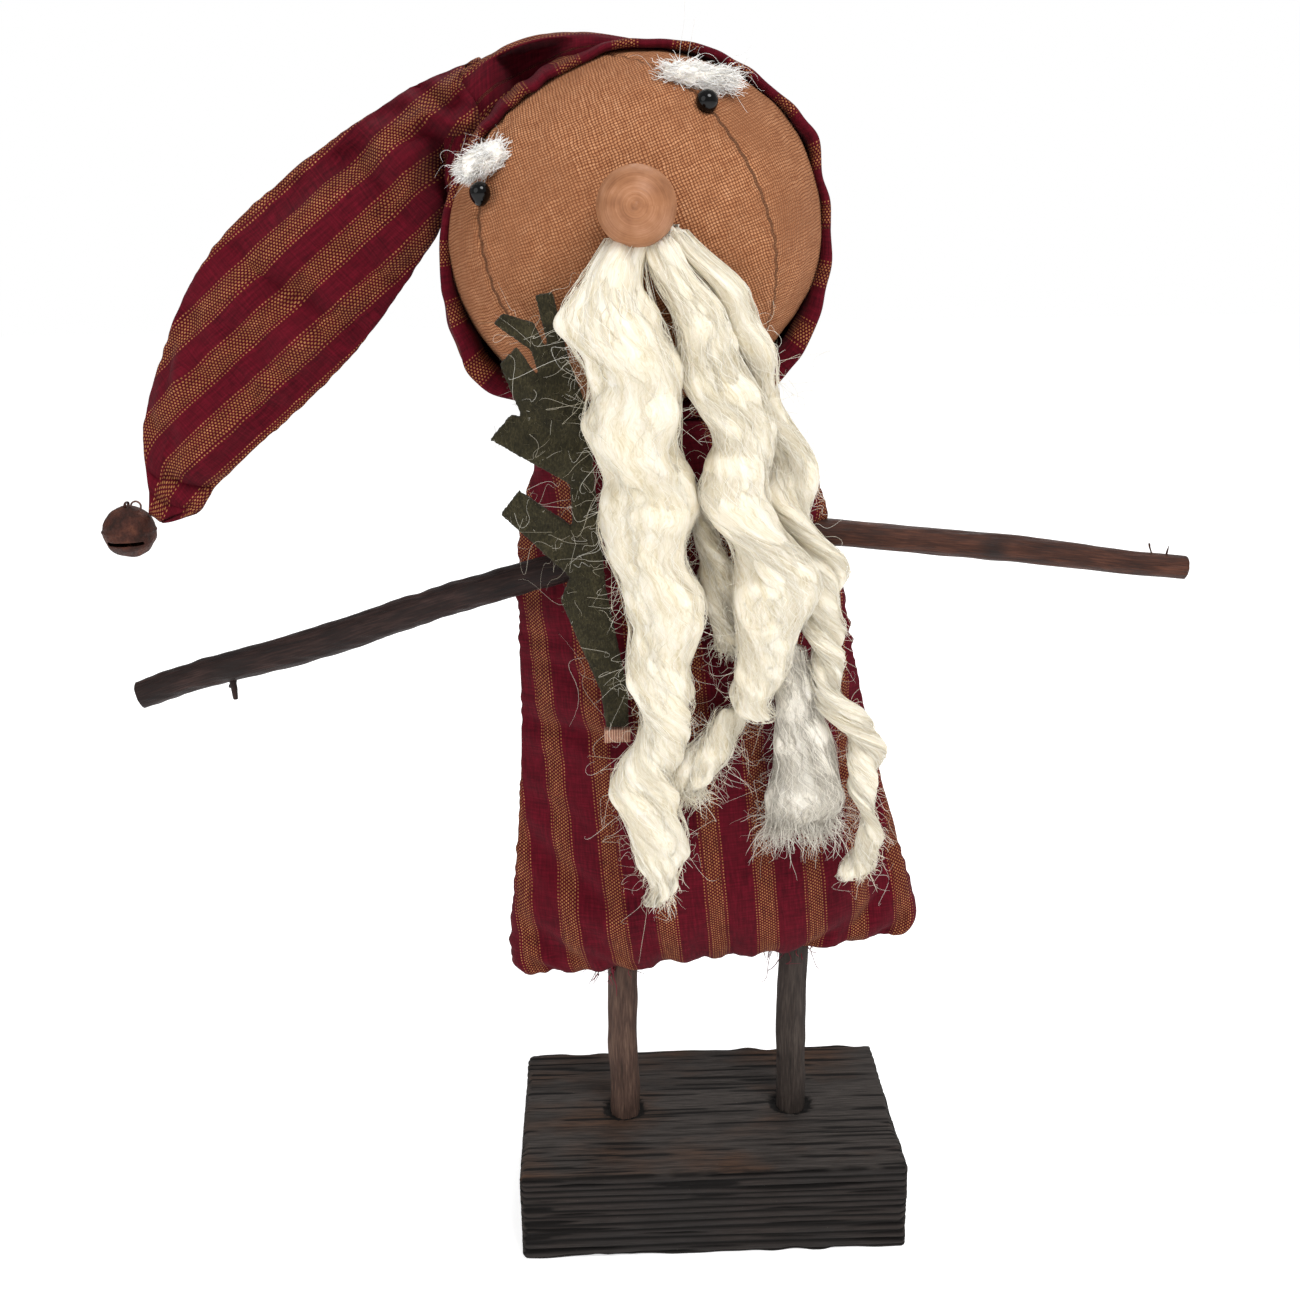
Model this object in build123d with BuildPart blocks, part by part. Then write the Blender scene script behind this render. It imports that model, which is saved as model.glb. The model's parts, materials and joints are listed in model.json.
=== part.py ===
from build123d import *
from math import atan2, cos, degrees, radians, sin, tan
import os

# A stuffed cloth gnome on a wood block: stick legs, a leaning pillow body, twig arms, a ball head
# with a wooden nose, a stocking cap with a long drooping tail and a bell, and a wool beard.
# Millimetres.  +Z is up, the figure faces -Y, and +X is towards the figure's own left hand.
# The origin is the middle of the block's underside.

# ------------------------------------------------------------------ driving dimensions

BLOCK_LENGTH = 152.0      # a six inch length of nominal two by four
BLOCK_DEPTH = 89.0
BLOCK_HEIGHT = 38.0
BLOCK_WORN_EDGE = 2.0

LEG_RADIUS = 6.0
LEG_SOCKET = 20.0
LEG_TOP = 165.0
LEG_Y = 1.0
LEGS = {"right": -34.0, "left": 35.0}

CLOTH = 0.8               # a sewn panel's thickness
GAP = 0.4                 # clearance between pieces that move

BODY_LEAN = 5.0           # degrees towards the figure's right
BODY_FOOT = (4.0, 0.0, 107.0)
# height up the body, half width, half thickness
BODY_SECTIONS = [
    (0.0, 76.0, 2.5),
    (4.0, 80.5, 10.0),
    (14.0, 82.0, 20.0),
    (45.0, 77.0, 28.0),
    (95.0, 68.0, 30.5),
    (150.0, 62.0, 28.5),
    (195.0, 53.0, 24.0),
    (220.0, 38.0, 18.0),
    (232.0, 22.0, 10.0),
]

HEAD_CENTRE = (-24.0, 0.0, 389.5)
HEAD_RADII = (64.0, 56.0, 58.0)
BALL_SLICES = 5
BALL_END_ANGLE = 85.0     # a ball's ends are flat beyond this latitude
HEAD_ROLL = 22.0          # degrees: the crown leans towards the figure's right
FACE_TURN = 6.0           # degrees: the front gore's middle, towards the figure's right
GORE_ANGLE = 90.0

NECK_RADIUS = 6.0
NECK_LENGTH = 95.0
NECK_START = 185.0        # height up the body

NOSE_RADIUS = 12.3
NOSE_CENTRE = (-25.0, -66.5, 399.2)
EYE_RADIUS = 3.6
EYES = {"right": (-74.2, -37.5, 403.5), "left": (-1.5, -40.0, 430.2)}
# centre, half length, half height, tilt in degrees
BROWS = {"right": ((-73.0, -34.0, 413.5), 9.5, 4.5, 28.0), "left": ((-4.0, -33.5, 438.0), 12.0, 4.5, -8.0)}

HAT_CLOTH = 2.0           # doubled and turned cloth
HAT_OPENING_Y = -12.0

TAIL_PIVOT = (-60.0, 6.0, 434.0)
TAIL_HUB_RADIUS = 15.0
TAIL_HUB_LENGTH = 44.0
# centre, slope of the path in degrees below horizontal, half width, half thickness
TAIL_SECTIONS = [
    ((-68.0, 8.0, 437.0), 24.0, 14.0, 24.0),
    ((-92.0, 6.0, 422.0), 38.0, 18.0, 20.0),
    ((-111.0, 4.0, 404.0), 44.0, 24.0, 15.5),
    ((-131.0, 2.0, 384.0), 46.0, 28.5, 12.0),
    ((-154.0, 0.0, 359.0), 49.0, 28.5, 10.0),
    ((-174.0, 0.0, 334.5), 53.0, 23.0, 8.5),
    ((-189.0, 0.0, 312.0), 58.0, 15.5, 7.0),
    ((-197.0, 0.0, 298.0), 62.0, 9.5, 5.0),
]

BELL_RADIUS = 9.4
BELL_SHEET = 0.7
BELL_HANG = (-209.5, 0.0, 299.0)
THREAD_RADIUS = 0.45
THREAD_LOOP_RADIUS = 2.8
STAPLE_RADIUS = 0.5
STAPLE_LOOP_RADIUS = 2.2
PELLET_RADIUS = 2.0
SLOT_WIDTH = 1.4
SLOT_LENGTH = 13.0

# entry point, outer tip, length inside, radius at the entry, radius at the tip
ARMS = {
    "right": ((-60.0, -18.0, 273.0), (-207.0, -24.0, 231.5), 30.0, 5.6, 5.2),
    "left": ((46.5, 0.0, 281.5), (183.0, 0.0, 265.0), 30.0, 4.9, 4.5),
}
# how far along the outer part, sideways wander and swelling of the twig
TWIG_FORM = {
    "right": [(0.25, 1.0, 0.1), (0.5, -0.8, 0.6), (0.75, 0.6, 0.0)],
    "left": [(0.25, -0.5, 0.1), (0.5, -1.0, 0.4), (0.75, 0.3, 0.0)],
}
ARM_SWING = 12.0          # degrees up and down from rest
ARM_GAP = 1.0             # a twig sits loosely in the slot that it swings in

BEARD_HINGE = (-20.0, -62.0, 388.0)
BEARD_LIFT = 30.0         # degrees
LIFT_STEPS = 3

# each lock: centre x, y, z, half width, half thickness, from the top down
LOCKS = {
    "beard_main_lock": [
        (-29.0, -64.0, 386.0, 7.0, 5.0),
        (-33.0, -67.0, 371.0, 13.5, 11.0),
        (-29.5, -67.0, 356.0, 16.0, 14.0),
        (-25.5, -60.0, 332.0, 15.5, 14.5),
        (-23.0, -52.0, 305.0, 15.5, 14.5),
        (-18.5, -48.0, 277.0, 13.5, 13.5),
        (-18.0, -46.5, 250.0, 12.0, 12.0),
        (-19.0, -45.0, 222.0, 9.5, 9.5),
        (-23.5, -46.0, 200.0, 11.0, 10.5),
        (-20.5, -45.0, 176.0, 9.5, 9.5),
        (-24.0, -44.0, 153.0, 3.0, 3.0),
    ],
    "beard_centre_lock": [
        (-14.5, -63.5, 386.5, 5.0, 5.0),
        (-8.5, -66.0, 367.0, 7.5, 8.0),
        (1.5, -62.5, 347.0, 9.5, 9.5),
        (6.5, -56.0, 325.0, 10.5, 10.5),
        (10.5, -51.0, 302.0, 11.5, 11.5),
        (19.5, -49.5, 279.0, 12.5, 12.0),
        (17.5, -47.5, 250.0, 9.5, 9.5),
        (17.0, -46.5, 226.0, 7.0, 7.0),
    ],
    "beard_outer_lock": [
        (-5.0, -61.0, 388.0, 3.5, 3.5),
        (3.0, -61.0, 375.0, 6.0, 5.0),
        (10.5, -55.0, 356.0, 6.0, 6.0),
        (15.0, -46.0, 338.0, 6.0, 6.0),
        (25.5, -40.0, 315.0, 6.5, 6.0),
        (29.0, -38.5, 298.0, 6.0, 6.0),
        (38.5, -38.5, 277.0, 6.5, 6.0),
        (38.5, -38.5, 250.0, 6.5, 6.0),
        (43.0, -38.5, 232.0, 6.0, 5.5),
        (53.5, -38.5, 213.0, 7.0, 5.5),
        (56.0, -38.0, 196.0, 4.8, 4.5),
        (56.0, -37.0, 179.0, 3.6, 3.6),
        (52.0, -36.0, 157.5, 4.8, 4.0),
    ],
    "beard_inner_lock": [
        (-5.0, -39.5, 304.0, 2.5, 2.5),
        (-1.0, -38.0, 288.0, 4.8, 4.5),
        (2.5, -38.0, 267.0, 6.0, 5.2),
        (5.0, -38.5, 248.0, 3.0, 3.0),
    ],
    "beard_cross_lock": [
        (7.5, -39.5, 228.0, 6.5, 4.0),
        (0.5, -39.5, 214.0, 9.0, 5.5),
        (-7.0, -39.5, 203.0, 8.0, 5.5),
        (-11.0, -39.5, 195.0, 5.0, 4.0),
    ],
    "beard_frayed_lock": [
        (29.0, -37.5, 250.0, 3.5, 3.0),
        (30.0, -37.5, 229.0, 8.0, 4.0),
        (33.0, -37.5, 206.0, 13.5, 4.5),
        (33.0, -37.5, 188.0, 15.0, 4.0),
        (27.0, -37.5, 180.0, 8.0, 2.5),
    ],
}

FELT_THICKNESS = 2.0
FELT_FOOT = (-34.0, -33.5, 214.0)
FELT_TOP_LEAN = 8.0       # degrees forward
# the cut outline of the sprig: across and up from its foot
FELT_OUTLINE = [
    (-4.0, 6.0),
    (-5.5, 20.0),
    (-18.5, 55.5),
    (-15.0, 64.5),
    (-37.5, 87.5),
    (-31.0, 95.5),
    (-13.5, 82.5),
    (-14.0, 97.5),
    (-39.5, 113.5),
    (-32.5, 121.5),
    (-29.0, 120.5),
    (-35.0, 138.5),
    (-29.5, 144.0),
    (-22.0, 132.0),
    (-25.0, 143.0),
    (-36.5, 151.5),
    (-33.5, 154.5),
    (-24.0, 151.5),
    (-18.5, 139.5),
    (-23.0, 160.0),
    (-17.5, 161.0),
    (-13.0, 139.0),
    (-7.0, 121.0),
    (-6.0, 100.0),
    (-3.0, 60.0),
    (4.0, 20.0),
    (4.0, 6.0),
]
BAND_SIZE = (9.0, 3.2, 5.0)

os.makedirs("parts", exist_ok=True)


def save(piece, name):
    """Label a finished piece and write it to its own file."""
    piece.label = name
    export_step(piece, f"parts/{name}.step")


def ball(radii, place):
    """A solid ellipsoid with the given half axes, as slices from its front to its back."""
    width, depth, height = radii
    with BuildPart() as solid:
        for step in range(-BALL_SLICES, BALL_SLICES + 1):
            angle = radians(BALL_END_ANGLE * step / BALL_SLICES)
            with BuildSketch(Plane((0, depth * sin(angle), 0), x_dir=(1, 0, 0), z_dir=(0, 1, 0))):
                Ellipse(width * cos(angle), height * cos(angle))
        loft()
    return place * solid.part


def head_ball(growth):
    """The head's own shape, grown all round."""
    return ball([radius + growth for radius in HEAD_RADII], Pos(*HEAD_CENTRE))


# ------------------------------------------------------------------ block and legs

with BuildPart() as base_block:
    Box(BLOCK_LENGTH, BLOCK_DEPTH, BLOCK_HEIGHT, align=(Align.CENTER, Align.CENTER, Align.MIN))
    fillet(base_block.faces().sort_by(Axis.Z)[-1].edges(), BLOCK_WORN_EDGE)
    with Locations(*[(x, LEG_Y, BLOCK_HEIGHT) for x in LEGS.values()]):
        Hole(LEG_RADIUS, LEG_SOCKET)
save(base_block.part, "base_block")

legs = {}
for side, x in LEGS.items():
    with BuildPart(Plane((x, LEG_Y, BLOCK_HEIGHT - LEG_SOCKET))) as leg:
        Cylinder(LEG_RADIUS, LEG_TOP - BLOCK_HEIGHT + LEG_SOCKET, align=(Align.CENTER, Align.CENTER, Align.MIN))
    legs[side] = leg.part
    save(leg.part, f"{side}_leg_stick")

# ------------------------------------------------------------------ shapes that the soft pieces are cut with

lean = radians(BODY_LEAN)
body_plane = Plane(BODY_FOOT, x_dir=(cos(lean), 0, sin(lean)), z_dir=(-sin(lean), 0, cos(lean)))


def body_form(inset):
    """The leaning pillow, shrunk all round by inset."""
    last = len(BODY_SECTIONS) - 1
    with BuildPart() as form:
        for number, (height, half_width, half_thickness) in enumerate(BODY_SECTIONS):
            end_shift = inset if number == 0 else -inset if number == last else 0.0
            with BuildSketch(body_plane.offset(height + end_shift)):
                Ellipse(half_width - inset, half_thickness - inset)
        loft()
    return form.part


neck_plane = body_plane.offset(NECK_START)
with BuildPart(neck_plane) as neck_dowel:
    Cylinder(NECK_RADIUS, NECK_LENGTH, align=(Align.CENTER, Align.CENTER, Align.MIN))
save(neck_dowel.part, "neck_dowel")

head_outer = head_ball(0.0)
head_inner = head_ball(-CLOTH)
hat_outer = head_ball(HAT_CLOTH)


def arm_frame(entry, tip):
    """The plane that an arm swings in: X along the twig to its tip, Z along the pivot."""
    along = (Vector(*tip) - Vector(*entry)).normalized()
    pivot = (Vector(0, 1, 0) - along * along.Y).normalized()
    return Plane(entry, x_dir=along, z_dir=pivot)


def arm_pocket(side):
    """The slot that the inner end of a twig swings in."""
    entry, tip, inside, root_radius, tip_radius = ARMS[side]
    swing = tan(radians(ARM_SWING))
    half = (root_radius + ARM_GAP) / cos(radians(ARM_SWING))
    inner = -inside - 1.5
    outer = 30.0
    with BuildPart() as pocket:
        with BuildSketch(arm_frame(entry, tip)):
            Polygon(
                (inner, -half + inner * swing),
                (0, -half),
                (outer, -half - outer * swing),
                (outer, half + outer * swing),
                (0, half),
                (inner, half - inner * swing),
                align=None,
            )
        extrude(amount=root_radius + ARM_GAP, both=True)
    return pocket.part


# ------------------------------------------------------------------ stuffed body

body_inner = body_form(CLOTH)
body_cutters = [*legs.values(), neck_dowel.part, hat_outer, arm_pocket("right"), arm_pocket("left")]

with BuildPart() as body_stuffing:
    add(body_inner)
    for cutter in body_cutters:
        add(cutter, mode=Mode.SUBTRACT)
save(body_stuffing.part, "body_stuffing")

for name, keep in (("body_front_panel", Keep.BOTTOM), ("body_back_panel", Keep.TOP)):
    with BuildPart() as panel:
        add(body_form(0.0))
        add(body_inner, mode=Mode.SUBTRACT)
        for cutter in body_cutters:
            add(cutter, mode=Mode.SUBTRACT)
        split(bisect_by=Plane(origin=(0, 0, 0), x_dir=(1, 0, 0), z_dir=(0, 1, 0)), keep=keep)
    save(panel.part, name)

# ------------------------------------------------------------------ head

roll = radians(HEAD_ROLL)
crown_axis = Vector(-sin(roll), 0, cos(roll))
face_axis = Vector(-sin(radians(FACE_TURN)), -cos(radians(FACE_TURN)), 0)
face_axis = (face_axis - crown_axis * face_axis.dot(crown_axis)).normalized()

with BuildPart() as head_stuffing:
    add(head_inner)
    add(neck_dowel.part, mode=Mode.SUBTRACT)
save(head_stuffing.part, "head_stuffing")

for turn, name in enumerate(("head_front_gore", "head_left_gore", "head_back_gore", "head_right_gore")):
    direction = face_axis.rotate(Axis((0, 0, 0), crown_axis), turn * GORE_ANGLE)
    gore_plane = Plane(HEAD_CENTRE, x_dir=direction, z_dir=crown_axis)
    reach = 2 * HEAD_RADII[0]
    with BuildPart() as gore:
        add(head_outer)
        add(head_inner, mode=Mode.SUBTRACT)
        add(neck_dowel.part, mode=Mode.SUBTRACT)
        with BuildSketch(gore_plane) as sector:
            Polygon((0, 0), (reach, -reach), (reach, reach), align=None)
        extrude(amount=reach, both=True, mode=Mode.INTERSECT)
    save(gore.part, name)

with BuildPart() as nose_ball:
    with Locations(NOSE_CENTRE):
        Sphere(NOSE_RADIUS)
    add(head_outer, mode=Mode.SUBTRACT)
save(nose_ball.part, "nose_ball")

for side, centre in EYES.items():
    with BuildPart() as bead:
        with Locations(centre):
            Sphere(EYE_RADIUS)
        add(head_outer, mode=Mode.SUBTRACT)
    save(bead.part, f"{side}_eye_bead")

for side, (centre, half_length, half_height, tilt) in BROWS.items():
    with BuildPart() as tuft:
        add(ball((half_length, half_height, half_height), Location(centre, (0, -tilt, 0))))
        add(head_outer, mode=Mode.SUBTRACT)
    save(tuft.part, f"{side}_brow_tuft")

# ------------------------------------------------------------------ cap

hat_side = Plane(origin=(0, HAT_OPENING_Y, 0), x_dir=(1, 0, 0), z_dir=(0, 1, 0))
tail_pivot_plane = Plane(TAIL_PIVOT, x_dir=(1, 0, 0), z_dir=(0, 1, 0))


def tail_form(inset):
    """The flattened cone of the cap's tail, shrunk all round by inset."""
    with BuildPart() as form:
        for number, (centre, slope, half_width, half_thickness) in enumerate(TAIL_SECTIONS):
            end_shift = -inset if number == len(TAIL_SECTIONS) - 1 else 0.0
            angle = radians(slope)
            forward = Vector(-cos(angle), 0, -sin(angle))
            across = Vector(-sin(angle), 0, cos(angle))
            with BuildSketch(Plane(centre, x_dir=across, z_dir=forward).offset(end_shift)):
                Ellipse(half_width - inset, half_thickness - inset)
        loft()
    return form.part


def tail_hub(radius):
    """The round end of the crown that the tail folds about."""
    with BuildPart() as hub:
        with BuildSketch(tail_pivot_plane):
            Circle(radius)
        extrude(amount=TAIL_HUB_LENGTH, both=True)
    return hub.part


tail_outer = tail_form(0.0)
tail_inner = tail_form(CLOTH)

with BuildPart() as hat_crown:
    add(tail_outer)
    add(tail_hub(TAIL_HUB_RADIUS), mode=Mode.INTERSECT)
    add(hat_outer)
    add(head_outer, mode=Mode.SUBTRACT)
    split(bisect_by=hat_side, keep=Keep.TOP)
    add(neck_dowel.part, mode=Mode.SUBTRACT)
save(hat_crown.part, "hat_crown")

tail_cutters = [head_ball(HAT_CLOTH + GAP), tail_hub(TAIL_HUB_RADIUS + GAP)]

with BuildPart() as hat_tail:
    add(tail_outer)
    add(tail_inner, mode=Mode.SUBTRACT)
    for cutter in tail_cutters:
        add(cutter, mode=Mode.SUBTRACT)
save(hat_tail.part, "hat_tail")

with BuildPart() as hat_tail_stuffing:
    add(tail_inner)
    for cutter in tail_cutters:
        add(cutter, mode=Mode.SUBTRACT)
save(hat_tail_stuffing.part, "hat_tail_stuffing")

# ------------------------------------------------------------------ bell

hang = Vector(*BELL_HANG)
thread_centre = hang + Vector(0, 0, THREAD_LOOP_RADIUS)
staple_centre = hang - Vector(0, 0, STAPLE_LOOP_RADIUS - STAPLE_RADIUS - THREAD_RADIUS - GAP / 2)
bell_centre = staple_centre - Vector(0, 0, BELL_RADIUS + STAPLE_LOOP_RADIUS / 2)

with BuildPart() as bell_thread:
    with BuildSketch(Plane(thread_centre + Vector(THREAD_LOOP_RADIUS, 0, 0), x_dir=(1, 0, 0), z_dir=(0, 0, 1))):
        Circle(THREAD_RADIUS)
    revolve(axis=Axis(thread_centre, (0, 1, 0)))
save(bell_thread.part, "bell_thread")

with BuildPart() as bell_staple:
    with BuildSketch(Plane(staple_centre + Vector(0, STAPLE_LOOP_RADIUS, 0), x_dir=(0, 1, 0), z_dir=(0, 0, 1))):
        Circle(STAPLE_RADIUS)
    revolve(axis=Axis(staple_centre, (1, 0, 0)))
    with Locations(bell_centre):
        Sphere(BELL_RADIUS, mode=Mode.SUBTRACT)
save(bell_staple.part, "bell_staple")

with BuildPart() as bell_shell:
    with Locations(bell_centre):
        Sphere(BELL_RADIUS)
        Sphere(BELL_RADIUS - BELL_SHEET, mode=Mode.SUBTRACT)
    with Locations(bell_centre + Vector(0, -BELL_RADIUS, -0.35 * BELL_RADIUS)):
        Box(SLOT_LENGTH, BELL_RADIUS, SLOT_WIDTH, mode=Mode.SUBTRACT)
save(bell_shell.part, "bell_shell")

with BuildPart() as bell_pellet:
    with Locations(bell_centre - Vector(0, 0, BELL_RADIUS - BELL_SHEET - PELLET_RADIUS - GAP / 2)):
        Sphere(PELLET_RADIUS)
save(bell_pellet.part, "bell_pellet")

# ------------------------------------------------------------------ twig arms

for side, (entry, tip, inside, root_radius, tip_radius) in ARMS.items():
    frame = arm_frame(entry, tip)
    reach = (Vector(*tip) - Vector(*entry)).length
    stations = [(-inside, 0.0, root_radius), (0.0, 0.0, root_radius)]
    for share, wander, swelling in TWIG_FORM[side]:
        radius = root_radius + share * (tip_radius - root_radius) + swelling
        stations.append((share * reach, wander, radius))
    stations.append((reach, 0.0, tip_radius))
    with BuildPart() as twig:
        for distance, wander, radius in stations:
            middle = frame.from_local_coords((distance, wander, 0))
            with BuildSketch(Plane(middle, x_dir=frame.z_dir, z_dir=frame.x_dir)):
                Circle(radius)
        loft()
    save(twig.part, f"{side}_arm_twig")

# ------------------------------------------------------------------ beard

# where the nose comes, seen from the beard as it lifts
hinge = Vector(*BEARD_HINGE)
nose_from_hinge = Vector(*NOSE_CENTRE) - hinge
nose_places = [
    hinge + nose_from_hinge.rotate(Axis.X, BEARD_LIFT * step / LIFT_STEPS) for step in range(LIFT_STEPS + 1)
]

for name, sections in LOCKS.items():
    with BuildPart() as lock:
        for x, y, z, half_width, half_thickness in sections:
            with BuildSketch(Plane((x, y, z))):
                Ellipse(half_width, half_thickness)
        loft()
        with Locations(*nose_places):
            Sphere(NOSE_RADIUS + GAP, mode=Mode.SUBTRACT)
    save(lock.part, name)

# ------------------------------------------------------------------ felt sprig and its band

felt_lean = radians(FELT_TOP_LEAN)
felt_plane = Plane(FELT_FOOT, x_dir=(1, 0, 0), z_dir=(0, -cos(felt_lean), -sin(felt_lean)))

with BuildPart() as sprig_band:
    with BuildSketch(felt_plane):
        with Locations((0, BAND_SIZE[2] / 2)):
            Rectangle(BAND_SIZE[0], BAND_SIZE[2])
    extrude(amount=BAND_SIZE[1] / 2, both=True)
save(sprig_band.part, "sprig_band")

with BuildPart() as felt_sprig:
    with BuildSketch(felt_plane):
        Polygon(*FELT_OUTLINE, align=None)
    extrude(amount=FELT_THICKNESS / 2, both=True)
    add(sprig_band.part, mode=Mode.SUBTRACT)
save(felt_sprig.part, "felt_sprig")
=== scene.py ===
import json
import math

import bpy
import numpy as np
from mathutils import Matrix, Vector

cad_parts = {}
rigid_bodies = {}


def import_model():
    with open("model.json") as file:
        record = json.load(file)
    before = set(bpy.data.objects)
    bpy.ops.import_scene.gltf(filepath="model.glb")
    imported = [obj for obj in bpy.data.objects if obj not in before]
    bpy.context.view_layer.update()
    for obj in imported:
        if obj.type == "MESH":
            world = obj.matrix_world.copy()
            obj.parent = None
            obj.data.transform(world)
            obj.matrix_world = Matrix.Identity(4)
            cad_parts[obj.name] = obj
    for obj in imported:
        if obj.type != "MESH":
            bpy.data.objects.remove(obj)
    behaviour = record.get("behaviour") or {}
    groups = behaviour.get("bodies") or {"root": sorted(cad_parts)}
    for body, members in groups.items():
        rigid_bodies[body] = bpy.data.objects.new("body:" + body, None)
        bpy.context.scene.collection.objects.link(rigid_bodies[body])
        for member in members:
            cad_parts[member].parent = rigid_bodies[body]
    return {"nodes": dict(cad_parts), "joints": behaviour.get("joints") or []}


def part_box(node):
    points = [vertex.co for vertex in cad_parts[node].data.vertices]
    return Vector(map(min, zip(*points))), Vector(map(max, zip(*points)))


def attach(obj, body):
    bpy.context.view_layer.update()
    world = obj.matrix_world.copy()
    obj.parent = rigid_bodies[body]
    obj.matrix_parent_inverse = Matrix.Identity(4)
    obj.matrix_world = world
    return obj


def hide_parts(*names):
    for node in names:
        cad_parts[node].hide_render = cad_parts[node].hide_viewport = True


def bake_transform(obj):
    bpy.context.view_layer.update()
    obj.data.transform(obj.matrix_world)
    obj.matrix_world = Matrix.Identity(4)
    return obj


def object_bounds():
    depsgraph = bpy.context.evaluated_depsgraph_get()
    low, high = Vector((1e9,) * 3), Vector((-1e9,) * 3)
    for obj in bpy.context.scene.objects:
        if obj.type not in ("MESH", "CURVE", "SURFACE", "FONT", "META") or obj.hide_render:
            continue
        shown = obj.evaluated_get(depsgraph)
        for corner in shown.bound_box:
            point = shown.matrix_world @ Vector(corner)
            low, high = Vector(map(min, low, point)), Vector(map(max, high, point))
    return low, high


# The looks of the stuffed cloth gnome. Shapes are made in millimetres in the CAD frame (+Z up, the
# figure faces -Y, +X is towards its own left hand) and scaled to metres when each piece is added.
# Places and sizes are read from the CAD nodes.

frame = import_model()
cad_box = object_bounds()

MM = 0.001
TAU = 2 * np.pi
OWN_LEFT, BACK, UP = np.eye(3)
FOREMOST = cad_box[0][1] / MM - 9.0      # no loose fibre reaches further forward

# ------------------------------------------------------------------ reading the frame


def read(items, field, width=1, kind=np.float32):
    """One field of all of a mesh's vertices, faces or corners."""
    values = np.empty(len(items) * width, kind)
    items.foreach_get(field, values)
    return values.reshape(-1, width) if width > 1 else values


def cad_mesh(*names):
    """The corners and triangles of some CAD nodes together, in millimetres."""
    corners, triangles, first = [], [], 0
    for name in names:
        mesh = frame["nodes"][name].data
        mesh.calc_loop_triangles()
        corners.append(read(mesh.vertices, "co", 3).astype(float) / MM)
        triangles.append(read(mesh.loop_triangles, "vertices", 3, np.int32) + first)
        first += len(mesh.vertices)
    return np.vstack(corners), np.vstack(triangles)


def box(*names):
    """The middle and the half size of some CAD nodes together, in millimetres."""
    low = np.min([np.array(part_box(name)[0]) for name in names], axis=0) / MM
    high = np.max([np.array(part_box(name)[1]) for name in names], axis=0) / MM
    return (low + high) / 2, (high - low) / 2


def slices(names, origin, axis, side, stations):
    """Where planes across an axis cut CAD nodes: middle and half size along side, then along Y."""
    corners, triangles = cad_mesh(*names)
    along = (corners - origin) @ axis
    values = np.stack([(corners - origin) @ side, corners[:, 1]], -1)
    edges = np.vstack([triangles[:, pair] for pair in ([0, 1], [1, 2], [2, 0])])
    rows = []
    for station in stations:
        before, after = (along[edges] - station).T
        cut = before * after < 0
        share = (before[cut] / (before[cut] - after[cut]))[:, None]
        start, end = edges[cut].T
        met = values[start] + share * (values[end] - values[start])
        low, high = met.min(0), met.max(0)
        rows.append(np.stack([(low + high) / 2, (high - low) / 2], 1).ravel())
    return np.array(rows)


# ------------------------------------------------------------------ making meshes


def waves(points, wavelength, seed, stretch=(1, 1, 1), count=16):
    """A smooth random field, mostly between -1 and 1, drawn out along an axis by stretch."""
    rng = np.random.default_rng(seed)
    heading = rng.normal(size=(count, 3))
    heading *= (rng.uniform(0.7, 1.4, count) / np.linalg.norm(heading, axis=1))[:, None]
    swing = np.asarray(points) @ (TAU / wavelength * heading / np.array(stretch)).T
    return np.sin(swing + rng.uniform(0, TAU, count)).sum(1) / math.sqrt(2 * count)


def smooth_step(low, high, value):
    """0 below low, 1 above high and an even curve between."""
    share = np.clip((value - low) / (high - low), 0, 1)
    return share * share * (3 - 2 * share)


def hump(value, middle, wide):
    """1 at middle, falling smoothly away on both sides."""
    return np.exp(-(((value - middle) / wide) ** 2))


def evened(values, reach=3):
    """A row of numbers smoothed over its neighbours."""
    padded = np.pad(values, reach, mode="edge")
    return np.convolve(padded, np.ones(2 * reach + 1) / (2 * reach + 1), "valid")


def eased(rows, count):
    """Rows of numbers filled in to count rows by Catmull-Rom curves."""
    rows = np.asarray(rows, float)
    padded = np.vstack([2 * rows[0] - rows[1], rows, 2 * rows[-1] - rows[-2]])
    place = np.linspace(0, len(rows) - 1, count)
    index = np.minimum(place.astype(int), len(rows) - 2)
    t = (place - index)[:, None]
    a, b, c, d = (padded[index + step] for step in range(4))
    return b + 0.5 * t * (c - a + t * (2 * a - 5 * b + 4 * c - d + t * (3 * (b - c) + d - a)))


def unit(vectors):
    """Vectors made one long."""
    return vectors / np.maximum(np.linalg.norm(vectors, axis=-1, keepdims=True), 1e-9)


def circle(count):
    """Angles evenly round a circle."""
    return TAU * np.arange(count) / count


def ring_quads(rings, around):
    """The faces of a surface of closed rings."""
    i, j = np.meshgrid(np.arange(rings - 1), np.arange(around), indexing="ij")
    a, b = i * around + j, i * around + (j + 1) % around
    return np.stack([a, b, b + around, a + around], -1).reshape(-1, 4)


def capped_rings(rings):
    """Points (rings, around, 3) as vertices and faces, with a middle point closing each end."""
    count, around, _ = rings.shape
    points = np.vstack([rings.reshape(-1, 3), rings[0].mean(0), rings[-1].mean(0)])
    j = np.arange(around)
    following = (j + 1) % around
    last = (count - 1) * around
    start = np.stack([following, j, np.full(around, count * around)], -1)
    end = np.stack([last + j, last + following, np.full(around, count * around + 1)], -1)
    return points, [ring_quads(count, around), start, end]


def normals_of(points, faces):
    """Vertex normals, from the faces round each vertex."""
    total = np.zeros_like(points)
    for group in faces:
        corner = points[group]
        normal = np.cross(corner[:, 2] - corner[:, 0], corner[:, -1] - corner[:, 1])
        for column in range(group.shape[1]):
            np.add.at(total, group[:, column], normal)
    return unit(total)


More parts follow.
